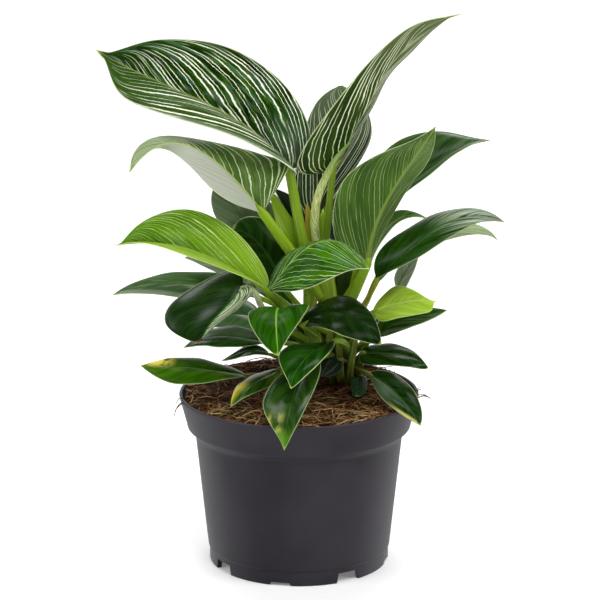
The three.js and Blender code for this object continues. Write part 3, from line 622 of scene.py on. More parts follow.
# rib is four points from base to tip, right and left are the way from it to each margin, and
# stalk is points from the stem to the blade, all close to the imported part's own. Then comes
# what a leaf's finish has of its own: shades over a side, a margin or an end, some of them
# painted sheen, mottle as colour, strength, fineness and threshold, some of it painted sheen,
# and patches at a share of the length; side is 1 for right
leaves = {
    "leaf_01": {
        "look": "striped", "round": 0.45, "taper": 0.75, "drip": 0.09,
        "rib": [[-5, 4, 200], [-32, 0, 226], [-66, -4, 244], [-98, -10, 262]],
        "right": [[23, 9, 14], [21, 15, 22], [22, 15, 24]],
        "left": [[4, -17, -5], [-6, -22, -6], [-8, -24, -17]],
        "stalk": [[9, 10, 138], [3.5, 6, 155], [-0.5, 4, 176]], "thick": [3, 2.3],
        "deep": "#071c00", "fresh": "#193c04", "line": "#eff5da", "midrib": "#9fb84a", "edge": "#e3ebc6",
        "gloss": 0.04, "ribWide": 1.2, "ribShow": 0.5, "edgeWide": 1.8, "lines": 12, "leftLines": 0.45,
        "stripe": 0.31, "broad": 0.22, "amount": 1.15, "fineStripe": 0.17, "fine": 0.95,
        "fineRoom": 0.75, "crowd": 2.1, "jag": 0.6, "wander": 0.04, "tipFade": 0.75, "tipSweep": 0.34,
        # the first mottle is painted sheen, bluish-grey patches; the second is green streaks
        "mottle": [("#466350", 0.6, 9, 0.5), ("#467314", 0.5, 30, 0.5)],
        # the first shade is a painted reflection, a grey-white band along the left margin; the last is
        # painted sheen, grey-blue towards the base of the right side
        "shades": [
            {"side": -1, "edge": 3.4, "from": 0.75, "to": 0.55, "colour": "#a9b09c", "strength": 0.7},
            {"side": -1, "colour": "#35520f", "strength": 0.6, "keep": 1},
            {"side": 1, "from": 0.3, "to": 0, "colour": "#62795c", "strength": 0.4, "keep": 1}]},
    "leaf_02": {
        "look": "striped", "round": 0.42, "arch": 0,
        "rib": [[-18, -4, 180], [-36, -12, 203], [-58, -20, 218], [-81, -30, 206]],
        "right": [[23, 9, 12], [16, 19, -1], [-3, 15, 6]],
        "left": [[-6, -14, -4], [-4, -10, -8], [-2, 7, -4]],
        "stalk": [[9, 10, 134], [-3, 4, 156], [-11, -1, 169]], "thick": [2.8, 2], "flat": 2,
        "deep": "#42611f", "fresh": "#5f7c3a", "line": "#d3deb4", "darkLines": "#8d9781",
        "midrib": "#a9b670", "gloss": 0.15, "stripe": 0.42, "broad": 0, "fine": 0.5, "crowd": 0.5,
        "steady": 0.18, "sweep": 0.5,
        # the first shade is painted sheen: the left half drawn pale grey-white
        "shades": [
            {"side": -1, "colour": "#b6b9ac", "strength": 0.9, "keep": 0},
            {"from": 0.58, "to": 0.72, "colour": "#7f8f6e", "strength": 0.6, "keep": 1}]},
    "leaf_03": {
        "look": "striped", "taper": 0.8, "drip": 0.13, "sway": 0.5,
        "rib": [[17, 8, 199], [32, 4, 229], [51, 0, 261], [79, -8, 279]],
        "right": [[2, 20, -4], [3, 14, -3], [8, 10, -4]],
        "left": [[-26, -7, -4], [-12.8, -4, 2.2], [-8.2, -2.6, 5]],
        "stalk": [[11, 12, 138], [13, 10, 160], [15, 9, 180]], "thick": [2.2, 1.5],
        "deep": "#1c3705", "fresh": "#37500f", "line": "#e6edc6", "midrib": "#a4b07c", "tip": "#6f8240",
        "ribWide": 0.6, "edgeWide": 1.4, "broad": 0.1, "fine": 0.25, "crowd": 2, "wander": 0.06,
        "steady": 0.2,
        # painted sheen: the upper part drawn paler olive-grey
        "shades": [{"from": 0.4, "to": 0.75, "colour": "#67734a", "strength": 0.6, "keep": 0.95}]},
    "leaf_04": {
        "look": "striped", "taper": 0.8,
        "rib": [[9, 16, 174], [16, 24, 194], [22, 30, 215], [21, 34, 236]],
        "right": [[17, 7, 11], [17, 6, 5], [18, 7, 3]], "left": [[-18, 2, 4], [-18, 2, 6], [-26, 3, 4]],
        "stalk": [[12, 13, 138], [11, 16, 158]], "thick": [2.2, 1.6],
        "deep": "#1a2914", "fresh": "#35482a", "line": "#e6ecd4", "midrib": "#5b6f48", "tip": "#6b7f58",
        "lines": 7, "broad": 0.15, "fine": 0, "steady": 0.12, "sweep": 0.75,
        "shades": [{"from": 0.35, "to": 0.8, "colour": "#6f7f5c", "strength": 0.6, "keep": 0.7}]},
    "leaf_05": {
        "look": "striped",
        "rib": [[34, 2, 152], [40, 0, 178], [52, -4, 201], [66, -10, 224]],
        "right": [[-22, -4, 7], [-21, -4, 12], [-19, -4, 7]],
        "left": [[7, 9, 1], [11, 11, 2], [14, 11, -3]],
        "stalk": [[17, 15, 116], [26, 8, 134]], "thick": [4.8, 1.6],
        "deep": "#30530d", "fresh": "#4a6f1d", "line": "#bdd092", "midrib": "#93ad4e", "under": "#3f5a1f",
        "underShare": 0.35, "roughness": 0.5, "ribWide": 1.15, "lines": 10, "stripe": 0.2, "broad": 0,
        "amount": 0.85, "fine": 0.4, "crowd": 0.6, "steady": 0.28},
    "leaf_06": {
        "look": "dark", "drip": 0.05,
        "rib": [[36, 20, 175], [56, 23, 190], [76, 19, 205], [96, 12, 213]],
        "right": [[2, -11, 0], [2, -13, 1], [2, -13, 3]],
        "left": [[-12, 13, 13], [-8, 15, 14], [-7, 15, 7]],
        "stalk": [[13, 13, 136], [24, 18, 154]], "thick": [2.2, 1.5],
        "deep": "#1a390b", "fresh": "#2f5212", "gloss": 0.4,
        # painted sheen: pale grey-green streaks towards the tip
        "shades": [{"from": 0.45, "to": 0.9, "colour": "#6b8060", "strength": 0.55, "streaky": True}]},
    "leaf_07": {
        "look": "dark",
        "rib": [[39, -2, 145], [54, -6, 162], [75, -10, 177], [100, -16, 178]],
        "right": [[3, -9, 0], [6, -13, -2], [3, -15, -3]], "left": [[-6, 11, 6], [-4, 15, 3], [-1, 15, 5]],
        "stalk": [[18, 16, 112], [30, 8, 126]], "thick": [1.5, 1.15], "stalkFlush": 0.6,
        "deep": "#0f2f01", "fresh": "#1e4704", "tip": "#8c8a4a", "gloss": 0.4,
        # painted sheen: pale grey streaks over the outer part, in place of a highlight band
        "shades": [{"from": 0.48, "to": 0.7, "colour": "#9caa90", "strength": 0.7, "streaky": True}]},
    "leaf_08": {
        "look": "pale", "deep": "#76895c", "fresh": "#90a276",
        "rib": [[44, 10, 152], [60, 16, 160], [82, 16, 166], [99, 12, 162]],
        "right": [[1, -6, -2]], "left": [[1, 9, 3]],
        "stalk": [[19, 18, 110], [32, 12, 127], [38, 11, 141]]},
    "leaf_09": {
        "look": "bright", "deep": "#345a1a", "fresh": "#4f7a2a", "midrib": "#8fac4a", "lines": 10,
        "amount": 0.4,
        "rib": [[35, 14, 150], [41, 16, 163], [51, 14, 173], [65, 8, 173]],
        "right": [[1, -6, 0]], "left": [[-2, 8, 3]], "stalk": [[18, 16, 116], [28, 14, 134]]},
    "leaf_10": {
        "look": "pale", "deep": "#8a9684", "fresh": "#abb5a2", "edge": "#c4ccb4", "under": "#a5b09c",
        "rib": [[50, 18, 134], [52, 20, 140], [56, 20, 147], [61, 18, 157]],
        "right": [[3, -4, -1]], "left": [[-3, 4, 3]], "stalk": [[22, 22, 100], [36, 20, 118]]},
    "leaf_11": {
        "look": "lime", "drip": 0.09,
        "rib": [[37, -6, 130], [47, -8, 134], [57, -12, 137], [68, -16, 138]],
        "right": [[1, -9, -5], [2, -8, -5], [5.5, -8, -8.5]], "left": [[-1, 9, 5], [-1, 8, 7], [-2, 8, 4]],
        "stalk": [[21, 19, 104], [30, 5, 120]], "thick": [1.8, 1.3],
        "deep": "#8eb22c", "fresh": "#a8c646", "line": "#cfe08a", "midrib": "#b7cf68", "amount": 0.3,
        "fine": 0.1, "mottle": [("#7d9f20", 0.5, 7, 0.5)]},
    "leaf_12": {
        "look": "dark", "deep": "#1b3a0e", "fresh": "#31561a",
        "rib": [[39, -2, 117], [49, -6, 125], [60, -10, 129], [73, -14, 133]],
        "right": [[2, -6, -3]], "left": [[-3, 11, 4]], "stalk": [[23, 22, 98], [32, 9, 108]],
        # painted sheen: pale grey-green streaks over the right side
        "shades": [{"side": 1, "colour": "#7f9470", "strength": 0.4, "streaky": True}]},
    "leaf_13": {
        "look": "dark", "round": 0.45, "taper": 0.7,
        "rib": [[2, -18, 126], [16, -26, 135], [30, -32, 132], [40, -36, 122]],
        "right": [[0, -11, -4], [-4, -14, -6], [-6, -9, -7]],
        "left": [[-1, 13, 3], [2, 16, 5], [3, 9, 7]],
        "stalk": [[17, 15, 112], [9, 0, 121], [3, -12, 126]], "thick": [1.8, 1.3],
        "deep": "#081c02", "fresh": "#122c06", "midrib": "#12300a", "tip": "#9cc22e",
        "roughness": 0.26, "gloss": 0.16, "quilt": 0.008, "relief": 0.05},
    "leaf_14": {
        "look": "bright", "round": 0.6, "taper": 0.8,
        "rib": [[-16, -10, 141], [-4, -14, 157], [13, -18, 169], [34, -16, 155]],
        "right": [[5, -10, -7], [6, -12, -15], [6, -10, -19]],
        "left": [[-3, 10, 2], [-2, 10, -1], [4, 13, -6]],
        "stalk": [[13, 13, 110], [1, 4, 124], [-8, -6, 133]], "thick": [2, 1.4],
        "deep": "#1f4c01", "fresh": "#3f7206", "line": "#dbe9b4", "midrib": "#8fb14e", "edge": "#dbe6b4",
        "gloss": 0.12, "ribWide": 0.5, "lines": 7, "stripe": 0.13, "amount": 0.75, "fine": 0.45,
        "jag": 0.12, "wander": 0.075, "steady": 0.25,
        "mottle": [("#4f7d4a", 0.5, 5, 0.52), ("#163f02", 0.6, 9, 0.52)]},
    "leaf_15": {
        "look": "bright", "taper": 0.8,
        "rib": [[-5, -10, 128], [-10, -26, 137], [-11, -42, 134], [-10, -52, 121]],
        "right": [[-14, 0, 0], [-14, 0, -3], [-13, 0, -6]], "left": [[15, 0, 2], [13, 0, -2], [9, 0, -4]],
        "stalk": [[14, 14, 108], [4, 2, 120]], "thick": [2, 1.4],
        "deep": "#123d00", "fresh": "#265801", "midrib": "#7aa834", "gloss": 0.07},
    "leaf_16": {
        "look": "bright", "taper": 0.7,
        "rib": [[17, -22, 120], [8, -34, 118], [0, -46, 113], [-4, -54, 105]],
        "right": [[-6, 5, 0], [-12, 6, 3], [-9, 3, 4]], "left": [[5, -5, -1], [6, -6, -1], [6, -3, -2]],
        "stalk": [[23, 23, 98], [24, 4, 108], [22, -12, 116]], "thick": [1.8, 1.3],
        "deep": "#0c3201", "fresh": "#1b4c03", "midrib": "#265a08", "roughness": 0.2, "gloss": 0.15},
    "leaf_17": {
        "look": "dark",
        "rib": [[3, -22, 109], [-1, -44, 102], [-5, -62, 93], [-7, -76, 81]],
        "right": [[-11, 0, 1], [-15, 0, 0], [-12, 0, 1]], "left": [[11, 0, 5], [10, 0, 4], [10, 0, 4]],
        "stalk": [[23, 24, 94], [16, 6, 104], [8, -12, 108]], "thick": [1.8, 1.3],
        "deep": "#143007", "fresh": "#28480f", "tip": "#9cc22e",
        "patches": [
            {"at": 0.76, "size": 0.17, "scale": 7, "side": 1, "from": 0.5, "low": 0.35, "sharp": 0.7,
             "colour": "#c2c46a", "strength": 0.7},
            {"at": 1, "size": 0.25, "scale": 3, "colour": "#5f9414", "strength": 0.8}]},
    "leaf_18": {
        "look": "dark", "deep": "#234a01", "fresh": "#3a6204", "tip": "#a8481c", "gloss": 0.15,
        "rib": [[-27, -10, 98], [-45, -22, 105], [-62, -30, 109], [-77, -36, 111]],
        "right": [[1, 9, 1], [1, 11, 2], [4, 11, 3]], "left": [[1, -9, -2], [0, -11, -6], [2, -11, -10]],
        "stalk": [[23, 26, 92], [4, 8, 96], [-14, -4, 97]],
        "patches": [{"at": 0.81, "size": 0.19, "scale": 12, "side": 1, "from": -2, "sharp": 0.55,
                     "colour": "#e0cc58", "strength": 0.95}]},
    "leaf_19": {
        "look": "dark", "deep": "#1c3d06", "fresh": "#3b5f0c",
        "rib": [[-10, -12, 102], [-18, -24, 101], [-26, -34, 99], [-33, -42, 92]],
        "right": [[-6, 6, -1]], "left": [[4, -4, -3]], "stalk": [[23, 25, 94], [6, 2, 100]],
        "thick": [1.6, 1.1],
        "patches": [
            {"at": 0.85, "size": 0.4, "scale": 5, "side": 1, "from": -1, "low": 0.15, "sharp": 0.42,
             "colour": "#cfbf30", "strength": 0.85},
            {"at": 0.1, "size": 0.3, "scale": 3, "colour": "#9fb02c", "strength": 0.5}]},
    "leaf_20": {
        "look": "dark", "taper": 0.8, "deep": "#0a2202", "fresh": "#18390a",
        "rib": [[35, -4, 97], [44, -20, 96], [52, -34, 91], [59, -44, 83]],
        "right": [[-4, -4, -2], [-6, -4, -3], [-4, -3, -4]], "left": [[4, 4, 4], [6, 4, 4], [8, 3, 4]],
        "stalk": [[26, 25, 92], [29, 10, 96]],
        # the first shade is the yellow margin; the second is painted sheen, a soft grey-green over the
        # right side
        "shades": [
            {"side": 1, "edge": 2, "from": 0.45, "to": 0.75, "colour": "#cdc26c", "strength": 0.85},
            {"side": 1, "from": 0.7, "to": 0.3, "colour": "#5f7358", "strength": 0.5}],
        "patches": [{"at": 0.86, "size": 0.1, "scale": 12, "side": 1, "from": 1, "sharp": 0.6,
                     "colour": "#d5c95c", "strength": 0.8}]},
    "leaf_21": {
        "look": "dark", "taper": 0.8,
        "rib": [[32, 4, 106], [42, 0, 107], [54, -6, 107], [64, -12, 103]],
        "right": [[-3, -4, -6], [0, -8, -4], [1, -7, -6]], "left": [[-1, 9, 2], [0, 8, 3], [-1, 7, 4]],
        "stalk": [[26, 25, 93], [29, 14, 99]]},
    "leaf_22": {
        "look": "dark", "deep": "#23440f", "fresh": "#3d5f24", "gloss": 0.05, "roughness": 0.4,
        "rib": [[-22, 6, 135], [-46, 2, 142], [-69, -2, 144], [-92, -8, 139]],
        "right": [[0, 9, 5], [-1, 13, 2], [-2, 15, 1]], "left": [[0, -9, -3], [0, -13, -5], [2, -15, -4]],
        # the mottle is painted sheen, pale streaks; the last shade is painted sheen, a grey band along the
        # left margin
        "stalk": [[14, 15, 104], [-5, 10, 125]], "mottle": [("#8a9c78", 0.55, 5, 0.52)],
        "shades": [
            {"side": 1, "colour": "#28500f", "strength": 0.55},
            {"side": -1, "edge": 4, "colour": "#98a592", "strength": 0.55}]},
    "leaf_23": {
        "look": "dark", "round": 0.4, "taper": 0.6,
        "rib": [[-28, -18, 146], [-35, -28, 139], [-42, -34, 133], [-48, -40, 124]],
        "right": [[-14, 9, 9], [-26, 4, 1], [-24, 0, -3]], "left": [[12, 10, 3], [10, 9, 1], [4, 7, -2]],
        "stalk": [[14, 15, 104], [-6, 0, 120], [-17, -12, 132], [-22, -16, 143]], "thick": [2, 1.4],
        "stalkFlush": 2, "deep": "#0b2203", "fresh": "#153207", "tip": "#7d4a34", "gloss": 0.32,
        "lines": 13, "amount": 0.12, "shades": [{"side": -1, "colour": "#5f7f44", "strength": 0.7}],
        "sideLines": {"side": -1, "lines": 3, "stripe": 0.5, "colour": "#dde4c6"}},
    "leaf_24": {
        "look": "dark", "taper": 0.7,
        "rib": [[-18, -8, 115], [-31, -16, 120], [-44, -24, 122], [-56, -32, 119]],
        "right": [[-1, 9, 4], [-1, 10, 2], [0, 9, 1]], "left": [[1, -9, -2], [0, -10, -3], [3, -9, -2]],
        "stalk": [[20, 21, 96], [0, 4, 110]],
        # painted sheen: a soft grey-green over the right side
        "shades": [{"side": 1, "colour": "#75866c", "strength": 0.28}]},
    "leaf_25": {
        "look": "dark", "rib": [[-15, -12, 110], [-23, -18, 114], [-30, -22, 113], [-38, -28, 111]],
        "right": [[0, 8, 0]], "left": [[1, -6, -1]],
        "stalk": [[22, 23, 95], [2, 2, 104], [-8, -8, 107]], "thick": [1.5, 1.1]},
    "leaf_26": {
        "look": "dark", "deep": "#3b5e31", "fresh": "#496e3f", "midrib": "#3f5f35", "amount": 0, "fine": 0,
        "rib": [[-18, 12, 120], [-26, 16, 122], [-35, 20, 121], [-45, 22, 114]],
        "right": [[-1, 8, 6]], "left": [[1, -8, -7]], "stalk": [[17, 17, 98], [-2, 14, 112]]},
    "leaf_27": {
        "look": "lime", "taper": 0.8, "drip": 0.06,
        "rib": [[-17, -14, 144], [-41, -20, 160], [-65, -24, 169], [-89, -28, 169]],
        "right": [[9.5, 7, 10], [8, 8, 17], [7, 7, 21]], "left": [[-1, -9, 1], [-1, -8, -1], [-1, -7, 1]],
        "stalk": [[14, 14, 108], [-1, -2, 125], [-9, -10, 134]], "thick": [2, 1.4],
        "deep": "#3f6d03", "fresh": "#5b8c0a", "line": "#e3eca2", "stripe": 0.14, "amount": 0.85,
        "fine": 0.75, "fineRoom": 0.45, "crowd": 0.6, "wander": 0.06, "tipFade": 0.65,
        "mottle": [("#3a6602", 0.6, 3.5, 0.5)],
        "shades": [
            {"side": -1, "colour": "#8db61d", "strength": 0.6, "keep": 0.8},
            {"from": 0.65, "to": 0.1, "colour": "#7fa714", "strength": 0.75, "keep": 1}]},
    "leaf_28": {
        "look": "dark", "taper": 0.7,
        "rib": [[-7, 0, 140], [-13, 4, 152], [-21, 6, 163], [-33, 8, 169]],
        "right": [[8, 4, 4], [10, 6, 4], [9, 8, 11]], "left": [[-9, 4, -7], [-13, 4, -7], [-16, 6, -7]],
        "stalk": [[13, 14, 112], [2, 4, 128]], "thick": [1.8, 1.3]},
    "leaf_29": {
        "look": "pale", "deep": "#526448", "fresh": "#697a59", "midrib": "#5b6b4c", "amount": 0.05,
        "fine": 0,
        "rib": [[-17, 14, 162], [-25, 16, 170], [-33, 18, 179], [-42, 20, 188]],
        "right": [[12, 4, 8]], "left": [[-14, -2, 0]], "stalk": [[12, 12, 130], [-3, 14, 148]]},
    "leaf_30": {
        "look": "dark", "deep": "#1c2a20", "fresh": "#2c3b30", "edge": "#c3cbb4",
        "rib": [[1, 12, 165], [-4, 13, 172], [-7, 13, 180], [-13, 15, 188]],
        "right": [[7, 0, 4]], "left": [[-2, -4, -1]],
        "stalk": [[12, 13, 134], [6, 14, 150]], "thick": [1.6, 1.1]},
    "leaf_31": {
        "look": "pale", "deep": "#556848", "fresh": "#6c7e5c",
        "rib": [[-24, 6, 143], [-35, 6, 148], [-46, 8, 152], [-57, 8, 154]],
        "right": [[1, 6, 4]], "left": [[-1, -6, -2]],
        "stalk": [[13, 14, 110], [-6, 8, 130]], "thick": [1.6, 1.1]},
    "leaf_32": {
        "look": "dark", "round": 0.2, "taper": 0.3, "groove": 0, "quilt": 0,
        "rib": [[31, 10, 92], [30, 3, 91], [30, -3, 89], [29, -9, 87]],
        "right": [[-4, 0, 0]], "left": [[4, 0, 0]], "stalk": [[26, 25, 90], [29, 18, 93]],
        # painted shade: colours and margin drawn dark and grey, as for a leaf in shade
        "thick": [1.4, 1.1], "deep": "#1c3320", "fresh": "#2b442c", "midrib": "#1c3320",
        "edge": "#2c4028", "amount": 0, "fine": 0, "gloss": 0.15, "ribShow": 0},
    "leaf_33": {
        "look": "dark", "groove": 0, "quilt": 0,
        "rib": [[20, 2, 103], [17, -2, 101], [14, -6, 99], [11, -10, 98]],
        "right": [[-5, 2, 2]], "left": [[4, -2, -2]], "stalk": [[24, 24, 94], [22, 10, 100]],
        # painted shade: colours and margin drawn dark and grey, as for a leaf in shade
        "thick": [1.5, 1.1], "deep": "#141f14", "fresh": "#1f2e1e", "midrib": "#182617",
        "edge": "#3a4a36", "amount": 0, "fine": 0, "gloss": 0.15, "ribShow": 0},
    "leaf_34": {
        "look": "striped", "rib": [[20, 32, 156], [27, 46, 168], [34, 60, 172], [40, 73, 164]],
        "right": [[11, -6, -2]], "left": [[-11, 6, -2]],
        "stalk": [[13, 13, 130], [16, 22, 146]], "thick": [2, 1.3]},
    "leaf_35": {
        "look": "striped", "rib": [[4, 28, 142], [-6, 42, 152], [-15, 56, 157], [-24, 70, 152]],
        "right": [[10, 7, -1]], "left": [[-10, -7, -1]],
        "stalk": [[14, 15, 118], [10, 22, 132]], "thick": [2, 1.3]},
    "leaf_36": {
        "look": "bright", "rib": [[-4, 24, 124], [-18, 36, 134], [-30, 46, 136], [-42, 54, 130]],
        "right": [[6, 8, 0]], "left": [[-6, -8, -1]], "stalk": [[17, 18, 102], [6, 22, 114]]},
    "leaf_37": {
        "look": "dark", "rib": [[34, 30, 106], [42, 36, 114], [50, 42, 116], [60, 46, 110]],
        "right": [[5, -8, 0]], "left": [[-5, 8, 0]], "stalk": [[24, 26, 94], [29, 28, 100]]},
    "leaf_38": {
        "look": "dark", "rib": [[28, 36, 106], [32, 50, 113], [34, 62, 110], [34, 74, 98]],
        "right": [[11, -2, -2]], "left": [[-10, 2, -2]], "stalk": [[24, 27, 93], [26, 32, 100]]},
    "leaf_39": {
        "look": "dark", "rib": [[14, 36, 104], [8, 50, 110], [2, 62, 107], [-3, 74, 96]],
        "right": [[10, 3, -2]], "left": [[-10, -4, -2]], "stalk": [[23, 27, 93], [18, 31, 99]]},
    "leaf_40": {
        "look": "dark", "rib": [[0, 30, 104], [-12, 42, 112], [-24, 52, 112], [-36, 58, 104]],
        "right": [[6, 8, -1]], "left": [[-6, -8, -1]], "stalk": [[22, 26, 94], [10, 27, 100]]},
    "leaf_41": {
        "look": "striped", "rib": [[12, 26, 170], [14, 40, 186], [18, 54, 194], [22, 66, 190]],
        "right": [[11, -3, -2]], "left": [[-11, 3, -2]],
        "stalk": [[12, 13, 134], [12, 19, 154]], "thick": [2, 1.3]},
}
blade = {
    "rows": 84, "halfColumns": 13, "halfThickness": 0.34, "edgeThickness": 0.12, "edgeRun": 3,
    "grooveWidth": 0.8, "ribHeight": 1.0, "ribWidth": 1.1, "folds": 6, "foldRun": 4, "foldRoom": 30,
    "wave": 0.3, "waveCount": 2.7, "swayCount": 3.4, "tipRun": 0.09, "ribPlaces": [0, 1 / 3, 2 / 3, 1],
    "sidePlaces": [0.2, 0.5, 0.8],
}


def ownValues(name):
    return common | looks[leaves[name]["look"]] | leaves[name]


def ribAt(leaf, u):
    return lagrange(blade["ribPlaces"], u) @ np.array(leaf["rib"], dtype=float)


def sideAt(vectors, u):
    places = blade["sidePlaces"] if len(vectors) > 1 else [0.5]
    return lagrange(places, u) @ np.array(vectors, dtype=float)


def bladeWidth(leaf, u):
    # (u / p)^round * ((1 - u) / (1 - p))^taper, which is 1 at the widest place p
    widest = leaf["round"] / (leaf["round"] + leaf["taper"])
    u = np.clip(u, 0.003, 0.992)
    width = (u / widest) ** leaf["round"] * ((1 - u) / (1 - widest)) ** leaf["taper"]
    if "drip" in leaf:  # the last part is drawn out into a thread
        width = width * np.clip(1 - np.exp(-((1 - u) / leaf["drip"]) ** 2), 0.3, 1)
    return width


def bladeShape(leaf, u, s):
    # point(u, s) = rib(u) + |s| * width(u) * side(u) + a bulge of 4 * arch * |s| * (1 - |s|); u
    # runs from base to tip, s from -1 at the left margin over 0 on the midrib to 1 at the right
    share = np.abs(s)[None, :, None]
    right = (s >= 0)[None, :, None]
    ahead = unit(ribAt(leaf, u + 0.01) - ribAt(leaf, u - 0.01))[:, None]
    reach = np.where(right, sideAt(leaf["right"], u)[:, None], sideAt(leaf["left"], u)[:, None])
    reach = reach * bladeWidth(leaf, u)[:, None, None]
    span = np.linalg.norm(reach, axis=-1, keepdims=True)
    upward = unit(np.cross(reach, ahead)) * np.where(right, 1, -1)
    bulge = upward * leaf["arch"] * 4 * share * (1 - share) * span
    return ribAt(leaf, u)[:, None] + reach * share + bulge, share, span


def veinField(leaf, along, s, alongStep, acrossStep):
    # veins are the lines on which log((1 - sweep * |s|^0.75) / left) stays the same: they fan
    # out from the base, leave the midrib at a slant, bend forward and run out into the tip.
    # left = root((1 - u)^2 + tipRun^2) is the way that is left to the tip, and pitch the mm on
    # the surface that a unit of the field takes, from the steps between the grid's points
    sweep = leaf["sweep"] + leaf["tipSweep"] * along ** 2
    vein = np.log((1 - sweep * np.abs(s)[None] ** 0.75) / np.hypot(1 - along, blade["tipRun"]))
    steps = ((alongStep, alongStep), (alongStep, acrossStep), (acrossStep, acrossStep))
    e, f, g = [(p * q).sum(-1) for p, q in steps]
    du, ds = np.gradient(vein)
    steep = (g * du * du - 2 * f * du * ds + e * ds * ds) / np.maximum(e * g - f * f, 1e-9)
    return vein, np.clip(1 / np.sqrt(np.maximum(steep, 1e-9)), 0, 90)


def makeBlade(name, leaf, number):
    # two skins, offset up and down from the blade's shape by half its thickness, with folds
    # along the veins, a groove over the midrib and its ridge below, joined round the margin
    rows = blade["rows"]
    u = 0.5 - 0.5 * np.cos(math.pi * np.linspace(0, 1, rows))
    s = np.linspace(-1, 1, 2 * blade["halfColumns"] + 1)
    s = np.sign(s) * np.abs(s) ** 1.25
    middle, share, span = bladeShape(leaf, u, s)
    along = np.broadcast_to(u[:, None], middle.shape[:2])
    fromRib = (share * span)[..., 0]
    fromEdge = ((1 - share) * span)[..., 0]
    alongStep, acrossStep = np.gradient(middle, axis=0), np.gradient(middle, axis=1)
    vein, pitch = veinField(leaf, along, s, alongStep, acrossStep)

    normal = unit(np.cross(acrossStep, alongStep))
    hump = np.sin(math.pi * along)
    swell = np.sin(2 * math.pi * blade["waveCount"] * along + 2.4 * number + 1.5 * (s[None] > 0))
    ripple = blade["wave"] * swell * (s[None] ** 2) * hump * np.minimum(1, span[..., 0] / 12)
    sway = leaf["sway"] * np.sin(2 * math.pi * blade["swayCount"] * along) * hump
    middle = middle + normal * (ripple + sway)[..., None]
    nearEdge = np.minimum(1, fromEdge / blade["edgeRun"])
    folds = np.cos(2 * math.pi * blade["folds"] * vein) * leaf["quilt"]
    folds = folds * np.minimum(1, fromRib / blade["foldRun"]) * nearEdge
    folds = folds * np.minimum(1, pitch / blade["foldRoom"])
    thin = blade["edgeThickness"] + (blade["halfThickness"] - blade["edgeThickness"]) * nearEdge
    groove = leaf["groove"] * np.exp(-(fromRib / blade["grooveWidth"]) ** 2) * (1 - along)
    ridge = blade["ribHeight"] * np.exp(-(fromRib / blade["ribWidth"]) ** 2) * (1 - along) ** 0.7
    upper = middle + normal * (thin + folds - groove)[..., None]
    lower = middle - normal * (thin - folds + ridge)[..., None]

    columns = len(s)
    count = rows * columns
    top = gridFaces(rows, columns)
    edge = np.concatenate([np.arange(columns), np.arange(1, rows) * columns + columns - 1,
                           (rows - 1) * columns + np.arange(columns - 2, -1, -1),
                           np.arange(rows - 2, 0, -1) * columns])
    after = np.roll(edge, -1)
    rim = np.stack([after, edge, edge + count, after + count], 1)
    faces = [np.vstack([top, top[:, ::-1] + count, rim])]
    both = {"along": along, "vein": vein, "fromRib": fromRib * np.where(s >= 0, 1, -1)[None],
            "fromEdge": fromEdge, "pitch": pitch}
    attributes = {key: np.concatenate([value.ravel(), value.ravel()]) for key, value in both.items()}
    attributes["upper"] = np.repeat([1.0, 0.0], count)
    points = np.vstack([upper.reshape(-1, 3), lower.reshape(-1, 3)])
    piece = buildMesh(name, points, faces, attributes, slot="leaf_" + leaf["look"],
                      material=leafMaterial(name + "Skin", leaf, number))
    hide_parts(name)


def veinLines(graph, field, pitch, along, jag, look, width, count, seed):
    # one line in the middle of each lane of the vein field: each lane draws a width of its
    # own, and noise along it lets the line fade out and come back
    lane = field * count
    cell = graph.math("FLOOR", lane)
    chance = graph.drawn(cell + seed)
    place = graph.drawn(cell + seed + 0.37)
    shift = jag * graph.math("MINIMUM", pitch / (2.5 * count), 1)
    off = abs((lane - cell - 0.28 - 0.44 * place) * pitch / count + shift)
    swell = graph.noise(graph.vector(cell * 3.1, along * 8, seed), 1, 1).rising(0.5, 0.75)
    half = width * (0.45 + 0.75 * chance * chance) * (0.8 + 0.9 * swell)
    half = half + width * 2.2 * chance.rising(0.985 - look["broad"], 1 - look["broad"])
    half = graph.math("MINIMUM", half, pitch * (0.17 / count))
    seen = graph.noise(graph.vector(cell * 7.31, along * 5, seed), 1, 1)
    seen = seen.rising(look["steady"], look["steady"] + 0.16)
    roomy = (chance + pitch / (look["crowd"] * count)).rising(0.95, 1.1)  # some end where lanes narrow
    return (1 - off.rising(half * 0.5, half * 1.25)) * (seen * roomy)


